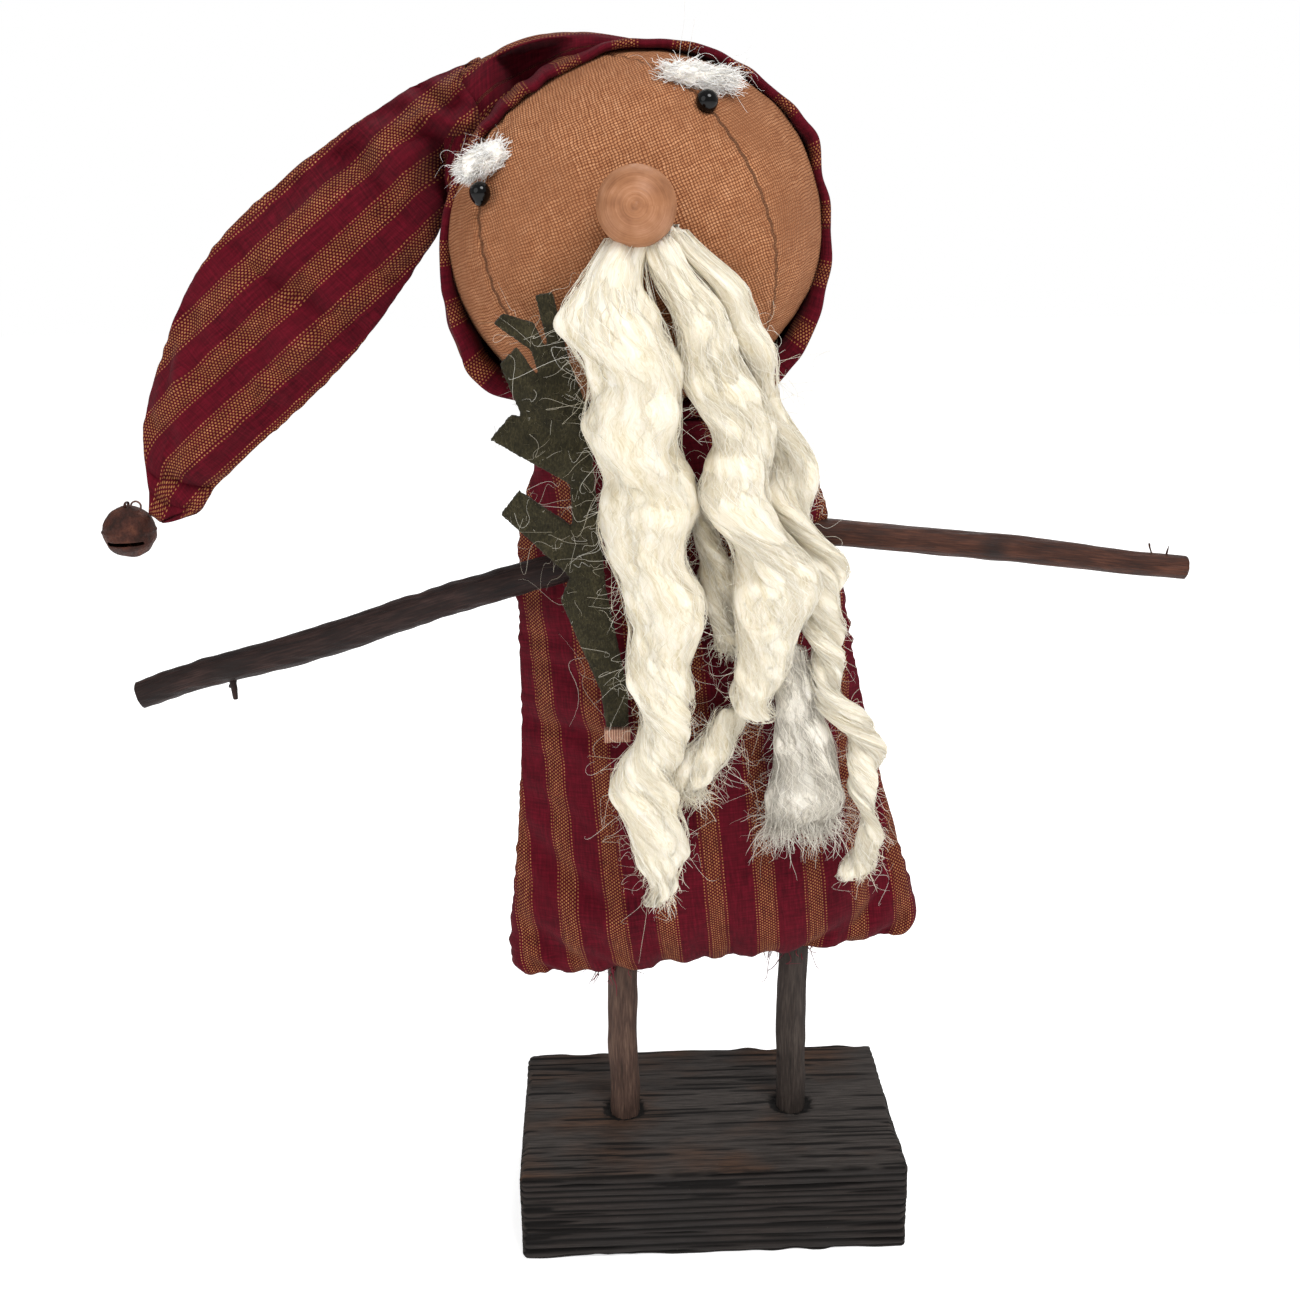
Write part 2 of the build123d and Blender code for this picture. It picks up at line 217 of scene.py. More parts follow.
def roughened(points, faces, height):
    """Points pushed out along their normals by a height each."""
    return points + normals_of(points, faces) * height[:, None]


def add_piece(name, points, faces, finish, body=None, slot=None, replaces=(), **attributes):
    """A smooth mesh piece from millimetre points. Attributes are per-vertex numbers or vectors."""
    mesh = bpy.data.meshes.new(name)
    mesh.from_pydata((np.asarray(points) * MM).tolist(), [], [f for group in faces for f in group.tolist()])
    mesh.polygons.foreach_set("use_smooth", [True] * len(mesh.polygons))
    for key, values in attributes.items():
        values = np.asarray(values, np.float32)
        kind, field = ("FLOAT", "value") if values.ndim == 1 else ("FLOAT_VECTOR", "vector")
        mesh.attributes.new(key, kind, "POINT").data.foreach_set(field, values.ravel())
    mesh.materials.append(finish)
    piece = bpy.data.objects.new(name, mesh)
    bpy.context.scene.collection.objects.link(piece)
    if body:
        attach(piece, body)
    if replaces:
        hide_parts(*replaces)
    return piece


def baked(piece, kind, **settings):
    """A piece's mesh once a modifier has worked on it: points, faces and the cloth attributes."""
    added = piece.modifiers.new("shape", kind)
    for key, value in settings.items():
        setattr(added, key, value)
    graph = bpy.context.evaluated_depsgraph_get()
    mesh = bpy.data.meshes.new_from_object(piece.evaluated_get(graph), depsgraph=graph)
    sizes = read(mesh.polygons, "loop_total", kind=np.int32)
    corners = read(mesh.loops, "vertex_index", kind=np.int32)
    starts = np.concatenate([[0], np.cumsum(sizes)[:-1]])
    faces = [corners[starts[sizes == size][:, None] + np.arange(size)] for size in (3, 4) if size in sizes]
    kept = [key for key in ("cloth", "flat") if key in mesh.attributes]
    found = [read(mesh.attributes[key].data, "vector", 3) for key in kept]
    bpy.data.objects.remove(piece)
    return read(mesh.vertices, "co", 3).astype(float) / MM, faces, found


def joined(parts):
    """Several (points, faces, attribute, ...) as one."""
    points, faces, *attributes = zip(*parts)
    firsts = np.cumsum([0, *map(len, points)])
    moved = [group + first for groups, first in zip(faces, firsts) for group in groups]
    return (np.vstack(points), moved, *map(np.concatenate, attributes))


# ------------------------------------------------------------------ loose fibres


def hair(paths, radius, tips=0.3):
    """Fibres: paths (count, steps, 3) as three-sided tubes that thin to their tips.
    Gives points, faces and a shade for each fibre."""
    count, steps, _ = paths.shape
    paths = paths.copy()
    paths[..., 1] = np.maximum(paths[..., 1], FOREMOST)
    tangent = unit(np.gradient(paths, axis=1))
    side = unit(np.cross(tangent, (0.31, 0.85, 0.42)))
    thin = 1 - (1 - tips) * np.linspace(0, 1, steps) ** 4
    wide = np.broadcast_to(np.asarray(radius, float).reshape(-1, 1), (count, steps)) * thin
    turn = circle(3)[:, None]
    rings = paths[:, :, None] + wide[..., None, None] * (
        np.cos(turn) * side[:, :, None] + np.sin(turn) * np.cross(tangent, side)[:, :, None]
    )
    faces = ring_quads(steps, 3) + np.arange(count)[:, None, None] * steps * 3
    shade = np.repeat(np.random.default_rng(count).uniform(0, 1, count), steps * 3)
    return rings.reshape(-1, 3), [faces.reshape(-1, 4)], shade


def curls(starts, heading, long, steps, bend, seed):
    """Loose fibres: each from its start along its heading, wandering more towards its tip."""
    rng = np.random.default_rng(seed)
    t = np.linspace(0, 1, steps)[None, :, None]
    long = np.asarray(long).reshape(-1, 1, 1)
    paths = starts[:, None] + heading[:, None] * long * t
    for turns in (1.0, 2.3):
        way = rng.normal(size=(len(starts), 1, 3))
        phase = rng.uniform(0, TAU, (len(starts), 1, 1))
        swing = np.sin(turns * 4.0 * t + phase) - np.sin(phase)
        paths = paths + way * bend * long / turns * swing * 0.35 * t**0.5
    return paths


def add_fibres(name, made, finish, body, slot, replaces=()):
    points, faces, shade = made
    return add_piece(name, points, faces, finish, body, slot, replaces, shade=shade)


# ------------------------------------------------------------------ making materials


class Term:
    """A shader node's output, which adds and multiplies like a number."""

    def __init__(self, finish, output):
        self.finish, self.output = finish, output

    def __add__(self, other):
        return self.finish.math("ADD", self, other)

    def __sub__(self, other):
        return self.finish.math("SUBTRACT", self, other)

    def __mul__(self, other):
        return self.finish.math("MULTIPLY", self, other)

    def __truediv__(self, other):
        return self.finish.math("DIVIDE", self, other)


def tone(colour):
    """The linear colour that shaders use, from a usual colour code or a level of grey."""
    if not isinstance(colour, str):
        return colour, colour, colour, 1
    values = [int(colour[i : i + 2], 16) / 255 for i in (1, 3, 5)]
    return (*(v / 12.92 if v <= 0.04045 else ((v + 0.055) / 1.055) ** 2.4 for v in values), 1)


class Finish:
    """A Principled material under construction. Each call adds a node and gives its output."""

    def __init__(self, name, **sockets):
        self.material = bpy.data.materials.new(name)
        self.material.use_nodes = True
        self.tree = self.material.node_tree
        self.shader = self.tree.nodes["Principled BSDF"]
        for socket, value in sockets.items():
            self.shader.inputs[socket.replace("_", " ")].default_value = value

    def node(self, kind, inputs, output=0, **settings):
        made = self.tree.nodes.new("ShaderNode" + kind)
        for key, value in settings.items():
            setattr(made, key, value)
        for key, value in inputs.items():
            if isinstance(value, Term):
                self.tree.links.new(value.output, made.inputs[key])
            else:
                made.inputs[key].default_value = value
        return Term(self, made.outputs[output])

    def math(self, operation, a, b=0.0, c=0.0):
        return self.node("Math", {0: a, 1: b, 2: c}, operation=operation)

    def sine(self, angle):
        return self.math("SINE", angle)

    def stretch(self, vector, x, y, z):
        return self.node("VectorMath", {0: vector, 1: (x, y, z)}, operation="MULTIPLY")

    def split(self, vector):
        """The X, Y and Z of a vector."""
        outputs = self.node("SeparateXYZ", {0: vector}).output.node.outputs
        return [Term(self, output) for output in outputs]

    def place(self):
        """Where the surface is on its own piece, in millimetres."""
        return self.stretch(self.node("TexCoord", {}, output="Object"), 1 / MM, 1 / MM, 1 / MM)

    def attribute(self, name, output="Vector"):
        return self.node("Attribute", {}, output=output, attribute_name=name)

    def noise(self, vector, size, detail=3.0, rough=0.55):
        """Cloudy noise with features of about the given size."""
        inputs = {"Vector": vector, "Scale": 1 / size, "Detail": detail, "Roughness": rough}
        return self.node("TexNoise", inputs)

    def bent(self, vector, scale, reach):
        """Coordinates that wander sideways."""
        wander = self.node("TexNoise", {"Vector": vector, "Scale": scale, "Detail": 2.0}, output=1)
        return self.node("VectorMath", {0: vector, 1: self.stretch(wander, reach, reach, 0)}, operation="ADD")

    def ramp(self, value, *stops):
        made = self.node("ValToRGB", {0: value})
        ramp = made.output.node.color_ramp
        while len(ramp.elements) < len(stops):
            ramp.elements.new(0.5)
        for element, (position, colour) in zip(ramp.elements, stops):
            element.position, element.color = position, tone(colour)
        return made

    def mix(self, factor, a, b):
        colours = [value if isinstance(value, Term) else tone(value) for value in (a, b)]
        return self.node("Mix", {0: factor, 6: colours[0], 7: colours[1]}, output=2, data_type="RGBA")

    def bump(self, height, depth, below=None):
        """Bumps of the given depth in millimetres for heights from 0 to 1."""
        inputs = {"Height": height, "Distance": depth * MM, "Strength": 1.0}
        return self.node("Bump", {**inputs, "Normal": below} if below else inputs)

    def made(self, colour, roughness=None, normal=None):
        for socket, value in (("Base Color", colour), ("Roughness", roughness), ("Normal", normal)):
            if value:
                self.tree.links.new(value.output, self.shader.inputs[socket])
        return self.material


THREAD_PITCH = 0.86      # one warp thread of the stripe cloth to the next
DASH_PITCH = 1.25
BAND_HALF = 3.2          # half the width of a stripe's woven band
EDGE_LINE = 4.0          # the thin dashed line each side of the band, from the stripe's middle
EDGE_HALF = 0.22
FINE_PITCH = 0.5
FACE_PITCH = 1.0         # one thread of the face's cloth to the next
RIB_PITCH = 0.9          # the band's ribs
LIT_TOP_HEIGHT = 40.0       # the block's top is painted lighter grey above 0.9 to 0.94 of this height, as painted light, and browner there in patches


def striped_cloth(name, pitch, offset):
    """Burgundy homespun with tan stripes: a band of floats that step sideways and two dashed lines."""
    f = Finish(name, Sheen_Weight=0.02, Specular_IOR_Level=0.1)
    cloth = f.attribute("cloth")
    across, along, _ = f.split(cloth)
    across = across + (f.noise(cloth, 9.0, detail=2.0) - 0.5) * 0.5
    from_stripe = f.math("ABSOLUTE", f.math("WRAP", across - offset, pitch / 2, -pitch / 2))
    edge = BAND_HALF / pitch * 2
    band = f.ramp(from_stripe / (pitch / 2), (edge - 0.02, 1), (edge + 0.02, 0))
    line = f.math("LESS_THAN", f.math("ABSOLUTE", from_stripe - EDGE_LINE), EDGE_HALF)
    thread, beat = across / THREAD_PITCH, along / DASH_PITCH
    step = f.math("FLOOR", thread) * 0.5
    floats = f.math("ABSOLUTE", f.sine(thread * math.pi)) * (f.sine((beat + step) * TAU) * 0.5 + 0.5)
    lit = f.ramp(floats, (0.34, 0), (0.56, 1))
    dashed = f.ramp(f.sine(beat * TAU), (0.0, 0), (0.35, 1))
    tan = f.math("MAXIMUM", band * lit, line * dashed)
    slub = f.noise(f.stretch(cloth, 1.0, 0.12, 1.0), 0.9, detail=2.0)
    weft = f.noise(f.stretch(cloth, 0.08, 1.0, 1.0), 0.7, detail=2.0)
    ground = f.ramp(slub * 0.5 + weft * 0.5, (0.34, "#370610"), (0.5, "#4f0a17"), (0.68, "#660f20"))
    ground = f.mix(f.ramp(f.noise(cloth, 26.0), (0.35, 0), (0.75, 0.5)), ground, "#590c1a")
    thread_colour = f.ramp(slub, (0.3, "#7d4d2f"), (0.55, "#a0693f"), (0.75, "#bd8557"))
    fine = f.sine(across * (TAU / FINE_PITCH)) * f.sine(along * (TAU / FINE_PITCH))
    normal = f.bump(fine * 0.25 + tan * 0.6, 0.16, below=f.bump(f.noise(cloth, 3.0), 0.25))
    shadow = f.mix(band * 0.3, ground, "#33070f")
    return f.made(f.mix(tan, shadow, thread_colour), f.ramp(tan, (0, 0.95), (1, 0.85)), normal)


def face_cloth():
    """Tea-coloured coarse plain weave, uneven thread by thread."""
    f = Finish("face_cloth", Sheen_Weight=0.02, Specular_IOR_Level=0.12)
    cloth = f.bent(f.attribute("cloth"), 0.16, 1.6)
    across, along = (f.math("ABSOLUTE", f.sine(way * (math.pi / FACE_PITCH))) for way in f.split(cloth)[:2])
    over = across * along
    slub = f.noise(f.stretch(cloth, 1.0, 0.1, 1.0), 0.8)
    weft = f.noise(f.stretch(cloth, 0.1, 1.0, 1.0), 0.8)
    uneven = slub * 0.5 + weft * 0.5
    threads = f.ramp(uneven, (0.36, "#9d6644"), (0.5, "#bc825a"), (0.66, "#d39b73"))
    gaps = f.mix(f.ramp(over, (0.12, 0.9), (0.5, 0)), threads, "#64331d")
    dusk = f.mix(f.ramp(f.noise(f.place(), 34.0), (0.40, 0), (0.66, 0.7)), gaps, "#8c5a3c")
    stain = f.ramp(f.attribute("seam", "Fac"), (0.0, 0.35), (0.5, 0.0))
    normal = f.bump(over * 0.75 + uneven * 0.5, 0.4)
    return f.made(f.mix(stain, dusk, "#6b4128"), f.ramp(over, (0, 0.95), (1, 0.8)), normal)


def weathered_wood():
    """Grey-black stained lumber: dark in its grooves, with painted shade round the legs' feet, lighter grey
    on top as painted light and browner in patches there, with a few pale chips.
    """
    f = Finish("weathered_wood", Specular_IOR_Level=0.15)
    place = f.place()
    # painted light: the top is painted lighter grey than the sides; the same mask keeps the brown patches,
    # the wood's own colour, to the top
    top_light_and_patches = f.ramp(f.split(place)[2] / LIT_TOP_HEIGHT, (0.90, 0.12), (0.94, 1))
    fine = f.noise(f.stretch(place, 0.05, 1.0, 1.0), 0.5, detail=4.0)
    brown = f.ramp(f.noise(f.stretch(place, 0.45, 0.8, 1.0), 24.0), (0.44, 0), (0.62, 1))
    ridge = f.mix(brown * top_light_and_patches, f.mix(top_light_and_patches, "#2b2827", "#423d3a"), "#4e3a2e")
    streak = f.mix(f.ramp(fine, (0.35, 0.7), (0.62, 0)), ridge, "#211d1b")
    dark = f.mix(f.ramp(f.attribute("grain", "Fac"), (0.15, 0), (0.7, 0.92)), streak, "#100e0d")
    chips = f.ramp(f.noise(place, 0.8, detail=1.0), (0.80, 0), (0.84, 0.35))
    return f.made(f.mix(chips, dark, "#7b746c"), f.ramp(fine, (0, 0.8), (1, 0.93)), f.bump(fine, 0.3))


def bark(name, dark, mid, light, gloss):
    """Stained twig or peeled stick, streaked lengthwise by its own bark coordinates."""
    f = Finish(name, Specular_IOR_Level=0.2)
    along = f.attribute("bark")
    streak = f.noise(f.stretch(along, 1.0, 1.0, 0.06), 0.55, detail=4.0, rough=0.65)
    blotch = f.noise(f.stretch(along, 1.0, 1.0, 0.3), 5.0)
    colour = f.ramp(streak * 0.6 + blotch * 0.4, (0.36, dark), (0.5, mid), (0.66, light))
    colour = f.mix(f.attribute("knot", "Fac") * 0.8, colour, "#1b1210")
    scuff = f.ramp(f.noise(along, 1.4, detail=4.0), (0.68, 0), (0.78, 0.35))
    roughness = f.ramp(streak, (0.3, gloss), (0.8, gloss + 0.3))
    return f.made(f.mix(scuff, colour, light), roughness, f.bump(streak, 0.35))


def wool(name, deep, mid, light):
    """Carded wool: soft streaks along its crimped fibres, and painted shade in the hollows between its
    ridges.
    """
    f = Finish(name, Sheen_Weight=0.08, Specular_IOR_Level=0.2, Subsurface_Weight=0.15)
    f.shader.inputs["Subsurface Radius"].default_value = (1.0, 0.8, 0.55)
    f.shader.inputs["Subsurface Scale"].default_value = 2.0 * MM
    fibre = f.bent(f.attribute("fibre"), 0.14, 5.0)
    streak = f.noise(f.stretch(fibre, 1.0, 1.0, 0.07), 0.38, detail=4.0, rough=0.6)
    strand = f.noise(f.stretch(fibre, 1.0, 1.0, 0.12), 2.4, detail=2.0)
    colour = f.ramp(streak * 0.5 + strand * 0.5, (0.34, deep), (0.47, mid), (0.62, light))
    # painted shade: the hollows between the roving's ridges are darkened towards the deep colour
    colour = f.mix(f.attribute("hollow", "Fac") * 0.4, colour, deep)
    normal = f.bump(streak, 0.18, below=f.bump(strand, 0.25))
    return f.made(colour, f.ramp(streak, (0.3, 0.62), (0.7, 0.48)), normal)


def fibre_wool(name, dark, light):
    """Single wool fibres, each its own shade."""
    f = Finish(name, Roughness=0.6, Sheen_Weight=0.05, Specular_IOR_Level=0.2)
    return f.made(f.ramp(f.attribute("shade", "Fac"), (0.0, dark), (1.0, light)))


def felt():
    """Dark olive wool felt: matted, flecked fibres."""
    f = Finish("olive_felt", Sheen_Weight=0.08, Specular_IOR_Level=0.1)
    place = f.place()
    mat = f.noise(f.stretch(place, 1.0, 1.0, 0.4), 0.6, detail=6.0, rough=0.75)
    both = mat * 0.7 + f.noise(place, 6.0) * 0.3
    colour = f.ramp(both, (0.33, "#191710"), (0.5, "#2f2b1d"), (0.68, "#4e4833"))
    return f.made(colour, f.ramp(mat, (0, 0.98), (1, 0.88)), f.bump(mat, 0.5))


def turned_wood():
    """Pale turned wood: rings round its face and a little end grain."""
    f = Finish("nose_wood", Specular_IOR_Level=0.25, Coat_Weight=0.05, Coat_Roughness=0.4)
    line = f.noise(f.stretch(f.attribute("ring"), 1.0, 0.03, 1.0), 0.5)
    both = line * 0.45 + f.noise(f.place(), 6.0) * 0.55
    colour = f.ramp(both, (0.34, "#855638"), (0.5, "#9d6b49"), (0.66, "#b28060"))
    return f.made(colour, f.ramp(line, (0.2, 0.42), (0.8, 0.56)), f.bump(line, 0.12))


def rusted_tin():
    """A rusted jingle bell: brown, pitted, darker where it is worn smooth."""
    f = Finish("rusty_tin", Metallic=0.15, Specular_IOR_Level=0.25)
    place = f.place()
    pits = f.noise(place, 0.9, detail=6.0, rough=0.7)
    colour = f.ramp(f.noise(place, 4.5), (0.34, "#28150f"), (0.5, "#422219"), (0.68, "#5a3324"))
    colour = f.mix(f.ramp(pits, (0.3, 0.7), (0.5, 0)), colour, "#2a1611")
    return f.made(colour, f.ramp(pits, (0.3, 0.85), (0.7, 0.5)), f.bump(pits, 0.3))


def glass_bead():
    """Black glass, with a faint swirl in its polish."""
    f = Finish("black_bead", Specular_IOR_Level=0.25)
    swirl = f.noise(f.place(), 1.8)
    return f.made(f.ramp(swirl, (0.3, "#020202"), (0.8, "#070606")), f.ramp(swirl, (0.2, 0.07), (0.9, 0.12)))


def woven_tape():
    """A copper-pink woven tape with fine ribs and no marks on it."""
    f = Finish("copper_band", Sheen_Weight=0.2, Specular_IOR_Level=0.3)
    rib = (f.sine(f.split(f.place())[0] * (TAU / RIB_PITCH)) + 1.0) * 0.5
    both = rib * 0.5 + f.noise(f.place(), 1.2) * 0.5
    colour = f.ramp(both, (0.2, "#8a5844"), (0.8, "#d0a48c"))
    return f.made(colour, f.ramp(rib, (0, 0.8), (1, 0.6)), f.bump(rib, 0.2))


def twisted_thread():
    """Sewing thread, plied in two."""
    f = Finish("thread", Roughness=0.75, Sheen_Weight=0.2)
    twist = f.node("TexWave", {"Vector": f.place(), "Scale": 1.4, "Distortion": 1.5}, output=1)
    return f.made(f.ramp(twist, (0.1, "#3a1f1c"), (0.9, "#8a5a48")), None, f.bump(twist, 0.12))


# ------------------------------------------------------------------ block

WORN_EDGE = 2.2
PITH = (7.0, -24.0)        # where the tree's middle was, in Y and Z, below the block
RING_PITCH = 2.1


def quads_of(sheet):
    """The faces of a sheet of vertex numbers."""
    return np.stack([sheet[:-1, :-1], sheet[:-1, 1:], sheet[1:, 1:], sheet[1:, :-1]], -1).reshape(-1, 4)


def box_surface(cells):
    """The surface of a box, from -1 to 1 each way, as a lattice of corners and quads."""
    i, j, k = np.meshgrid(*[np.arange(count + 1) for count in cells], indexing="ij")
    on = np.zeros(i.shape, bool)
    for index, count in zip((i, j, k), cells):
        on |= (index == 0) | (index == count)
    number = np.full(i.shape, -1)
    number[on] = np.arange(on.sum())
    quads = []
    for axis in range(3):
        for end in (0, -1):
            sheet = np.take(number, end, axis=axis)
            face = quads_of(sheet)[:, [0, 3, 2, 1]]
            quads.append(face[:, ::-1] if (end == 0) != (axis == 1) else face)
    return np.stack([i[on], j[on], k[on]], -1) / np.array(cells) * 2 - 1, [np.vstack(quads)]


def base_block():
    middle, half = box("base_block")
    spots, faces = box_surface((112, 120, 80))
    spots = spots * half
    edge = WORN_EDGE * (1 + 0.5 * waves(spots, 16.0, 3))[:, None]
    core = np.clip(spots, -(half - edge), half - edge)
    outward = unit(spots - core)
    points = core + outward * edge + middle
    bow = 0.4 * waves(points, 7.0, 5, (22, 1, 1)) + 0.3 * waves(points, 22.0, 6, (5, 1, 1))
    ring = (np.hypot(points[:, 1] - PITH[0], points[:, 2] - PITH[1]) + bow) / RING_PITCH
    valley = (0.5 + 0.5 * np.cos(TAU * ring)) ** 2
    fine = 0.5 + 0.5 * waves(points, 1.1, 7, (26, 1, 1))
    checks = smooth_step(0.35, 0.95, waves(points, 2.4, 8, (20, 1, 1)))
    end, side, top = np.abs(outward).T
    depth = side * (0.55 * valley + 0.2 * fine + 1.0 * checks)
    depth += top * (0.22 * valley + 0.12 * fine + 0.35 * checks)
    depth += end * (0.25 * valley + 0.35 * smooth_step(0.3, 0.9, waves(points, 3.0, 9)))
    dark = 0.75 * valley * (0.4 + 0.6 * side) + 0.9 * checks + 0.15 * fine
    for name in ("right_leg_stick", "left_leg_stick"):
        leg, size = box(name)
        away = np.hypot(points[:, 0] - leg[0], points[:, 1] - leg[1]) + 1.1 * waves(points, 3.0, 10)
        # painted shade: a sunk ring round each leg's foot is also painted near black, as shade in the gap
        # between leg and block
        rim = smooth_step(size[0] + 3.6, size[0] + 0.2, away) * (points[:, 2] > middle[2])
        depth += 1.5 * rim
        dark += 1.2 * rim
    points -= outward * depth[:, None]
    points[:, 2] = np.maximum(points[:, 2], 0)
    # the grain attribute carries the dark of the grooves and the painted shade round the legs
    add_piece(
        "weathered_block", points, faces, weathered_wood(), "figure", "block_wood", ["base_block"],
        grain=np.clip(dark, 0, 1.2),
    )


# ------------------------------------------------------------------ sticks and twigs

TWIG_BEND = 0.55       # how much of the twig's wander is kept
# the sawn ends: how far the closing rings stand out, and how much narrower they are
SAWN = ((0.5, 0.6), (0.3, 0.93))


def stick(path, radii, seed, rough, grained=True, knots=(), turns=60):
    """A twig: rings along a path with lengthwise ridges, swollen knots and sawn ends.
    Gives points, faces, bark coordinates and where the knots are."""
    length = np.linalg.norm(np.diff(path, axis=0), axis=1).sum()
    rows = eased(np.column_stack([path, radii]), int(length / 0.9))
    rows = np.vstack([rows[0], rows[0], rows, rows[-1], rows[-1]])
    heading = unit(path[-1] - path[0])
    for number, (out, narrow) in enumerate(SAWN):
        for row, way in ((number, -1), (-1 - number, 1)):
            rows[row, 3] *= narrow
            rows[row, :3] += way * out * heading
    tangent = unit(np.gradient(eased(path, len(rows)), axis=0))
    first, normal = np.empty_like(tangent), np.cross(tangent[0], BACK if abs(tangent[0][1]) < 0.9 else UP)
    for index, along in enumerate(tangent):
        normal = unit(normal - along * (normal @ along))
        first[index] = normal
    angle = circle(turns)
    around = np.cos(angle)[None, :, None] * first[:, None]
    around = around + np.sin(angle)[None, :, None] * np.cross(tangent, first)[:, None]
    skin = rows[:, None, :3] + around * rows[:, None, 3:]
    stretch = np.where(np.abs(heading) > 0.7, 10.0, 1.0) if grained else (1, 1, 1)
    ridge = waves(skin.reshape(-1, 3), 2.3, seed, stretch).reshape(skin.shape[:2])
    lump = waves(skin.reshape(-1, 3), 17.0, seed + 1).reshape(skin.shape[:2])
    share = np.linspace(0, 1, len(rows))[:, None]
    swell, dark = np.zeros_like(ridge), np.zeros_like(ridge)
    for place, turn, wide, height in knots:
        off = np.angle(np.exp(1j * (angle[None] - turn)))
        spot = np.exp(-(((share - place) * length / wide) ** 2) - (off * rows[:, 3:] / wide) ** 2)
        swell += height * spot
        dark += spot
    grown = rows[:, 3:] * (0.035 * lump) + rough * ridge + swell
    points, faces = capped_rings(skin + around * grown[..., None])
    wide = rows[:, 3:] + 0 * ridge
    bark_place = np.stack([np.cos(angle) * wide, np.sin(angle) * wide, share * length + 0 * ridge], -1)
    bark_place = np.vstack([bark_place.reshape(-1, 3), [[0, 0, 0], [0, 0, length]]])
    return points, faces, bark_place, np.concatenate([np.clip(dark, 0, 1).ravel(), [0.3, 0.3]])


def leg_sticks():
    # the skin's colours, and each knot's share of the length, angle round the stick, width and height
    looks = {
        "right": (
            ("peeled_stick", "#332721", "#4e3b33", "#6d5649"),
            [(0.42, 1.45 * np.pi, 2.6, -0.7), (0.7, 0.4, 2.0, 0.3)],
        ),
        "left": (("grey_stick", "#25201d", "#38302c", "#4f4640"), [(0.3, 0.3, 2.0, -0.4)]),
    }
    for seed, (side, (skin, knots)) in enumerate(looks.items()):
        node = f"{side}_leg_stick"
        middle, half = box(node)
        path = np.array([[*middle[:2], z] for z in np.linspace(middle[2] - half[2], middle[2] + half[2], 6)])
        path[1:-1, 0] += (0.2, -0.3, 0.3, -0.1)
        radii = half[0] * np.array([0.97, 0.98, 1.0, 0.96, 1.0, 0.98])
        points, faces, place, knot = stick(path, radii, 20 + seed, 0.28, knots=knots)
        add_piece(
            f"{side}_leg_wood", points, faces, bark(*skin, gloss=0.7), "figure", "leg_wood", [node],
            bark=place, knot=knot,
        )


def twig_path(node):
    """The path and the radii of a twig, from its CAD solid."""
    corners, _ = cad_mesh(node)
    inner, outer = sorted((corners[:, 0].min(), corners[:, 0].max()), key=abs)
    ends = [corners[np.abs(corners[:, 0] - x) < 3.0] for x in (inner, outer)]
    start, stop = [(end.min(0) + end.max(0)) / 2 for end in ends]
    start[0], stop[0] = inner, outer
    axis = unit(stop - start)
    side = unit(np.cross(BACK, axis))
    reach = (corners - start) @ axis
    stations = np.linspace(reach.min() + 2.5, reach.max() - 2.5, 9)
    cut = slices([node], start, axis, side, stations)
    bent = start + stations[:, None] * axis + cut[:, :1] * side
    bent[:, 1] = cut[:, 2]
    share = np.linspace(0, 1, len(bent))[:, None]
    path = TWIG_BEND * bent + (1 - TWIG_BEND) * ((1 - share) * bent[0] + share * bent[-1])
    return path, evened(np.maximum(cut[:, 1], cut[:, 3]), 1)


def arm_twigs():
    # slot, skin, knots (share of the length, angle round the twig, width, height),
    # torn side shoots (share of the length, which way, length, thickness)
    looks = {
        "right": (
            "dark_twig", bark("dark_bark", "#120a09", "#20120f", "#3a2824", gloss=0.4),
            [(0.43, 4.4, 4.0, 0.8), (0.41, 5.6, 2.5, -0.5), (0.80, 1.6, 5.0, 0.9), (0.3, 2.0, 3.0, 0.3)],
            [(0.81, (0.15, -0.3, -1.0), 11.5, 1.7), (0.79, (-0.5, -0.1, -1.0), 9.0, 1.3)],
        ),
        "left": (
            "red_twig", bark("red_bark", "#24120c", "#3c2117", "#5c3728", gloss=0.42),
            [(0.54, 1.6, 5.0, 0.8), (0.93, 4.6, 3.4, 1.2), (0.35, 4.6, 4.0, 0.25)],
            [(0.93, (-0.35, 0.0, 1.0), 8.4, 0.55), (0.955, (0.2, 0.0, 1.0), 7.4, 0.45)],
        ),
    }
    for seed, (side, (slot, skin, knots, shoots)) in enumerate(looks.items()):
        node = f"{side}_arm_twig"
        path, radii = twig_path(node)
        parts = [stick(path, radii, 30 + seed, 0.16, knots=knots)]
        rows = eased(path, 101)
        for number, (share, heading, long, wide) in enumerate(shoots):
            root = rows[int(100 * share)]
            shoot = root + np.array([0, 0.5, 1])[:, None] * long * unit(np.array(heading))
            thinning = wide * np.array([1, 0.75, 0.5])
            parts.append(stick(shoot, thinning, 40 + number, 0.12, grained=False, turns=16))
        points, faces, place, knot = joined(parts)
        add_piece(
            f"{side}_arm_bark", points, faces, skin, f"{side}_arm", slot, [node], bark=place, knot=knot
        )


# ------------------------------------------------------------------ stuffed cloth

SPARE_CLOTH = 0.05       # how much larger the panels are than the outline that they are sewn to
SIMULATED_SIZE = 3.0     # how many times their real size the panels are filled at
CLOTH = {
    "vertex_group_mass": "seam", "shrink_min": -SPARE_CLOTH, "quality": 6, "mass": 0.3, "use_pressure": True,
    "tension_stiffness": 15, "compression_stiffness": 15, "shear_stiffness": 5, "bending_stiffness": 0.5,
}
CLOTH_STEPS = 20
PANEL_ROW = 4.2          # the height of one row of the panels' faces


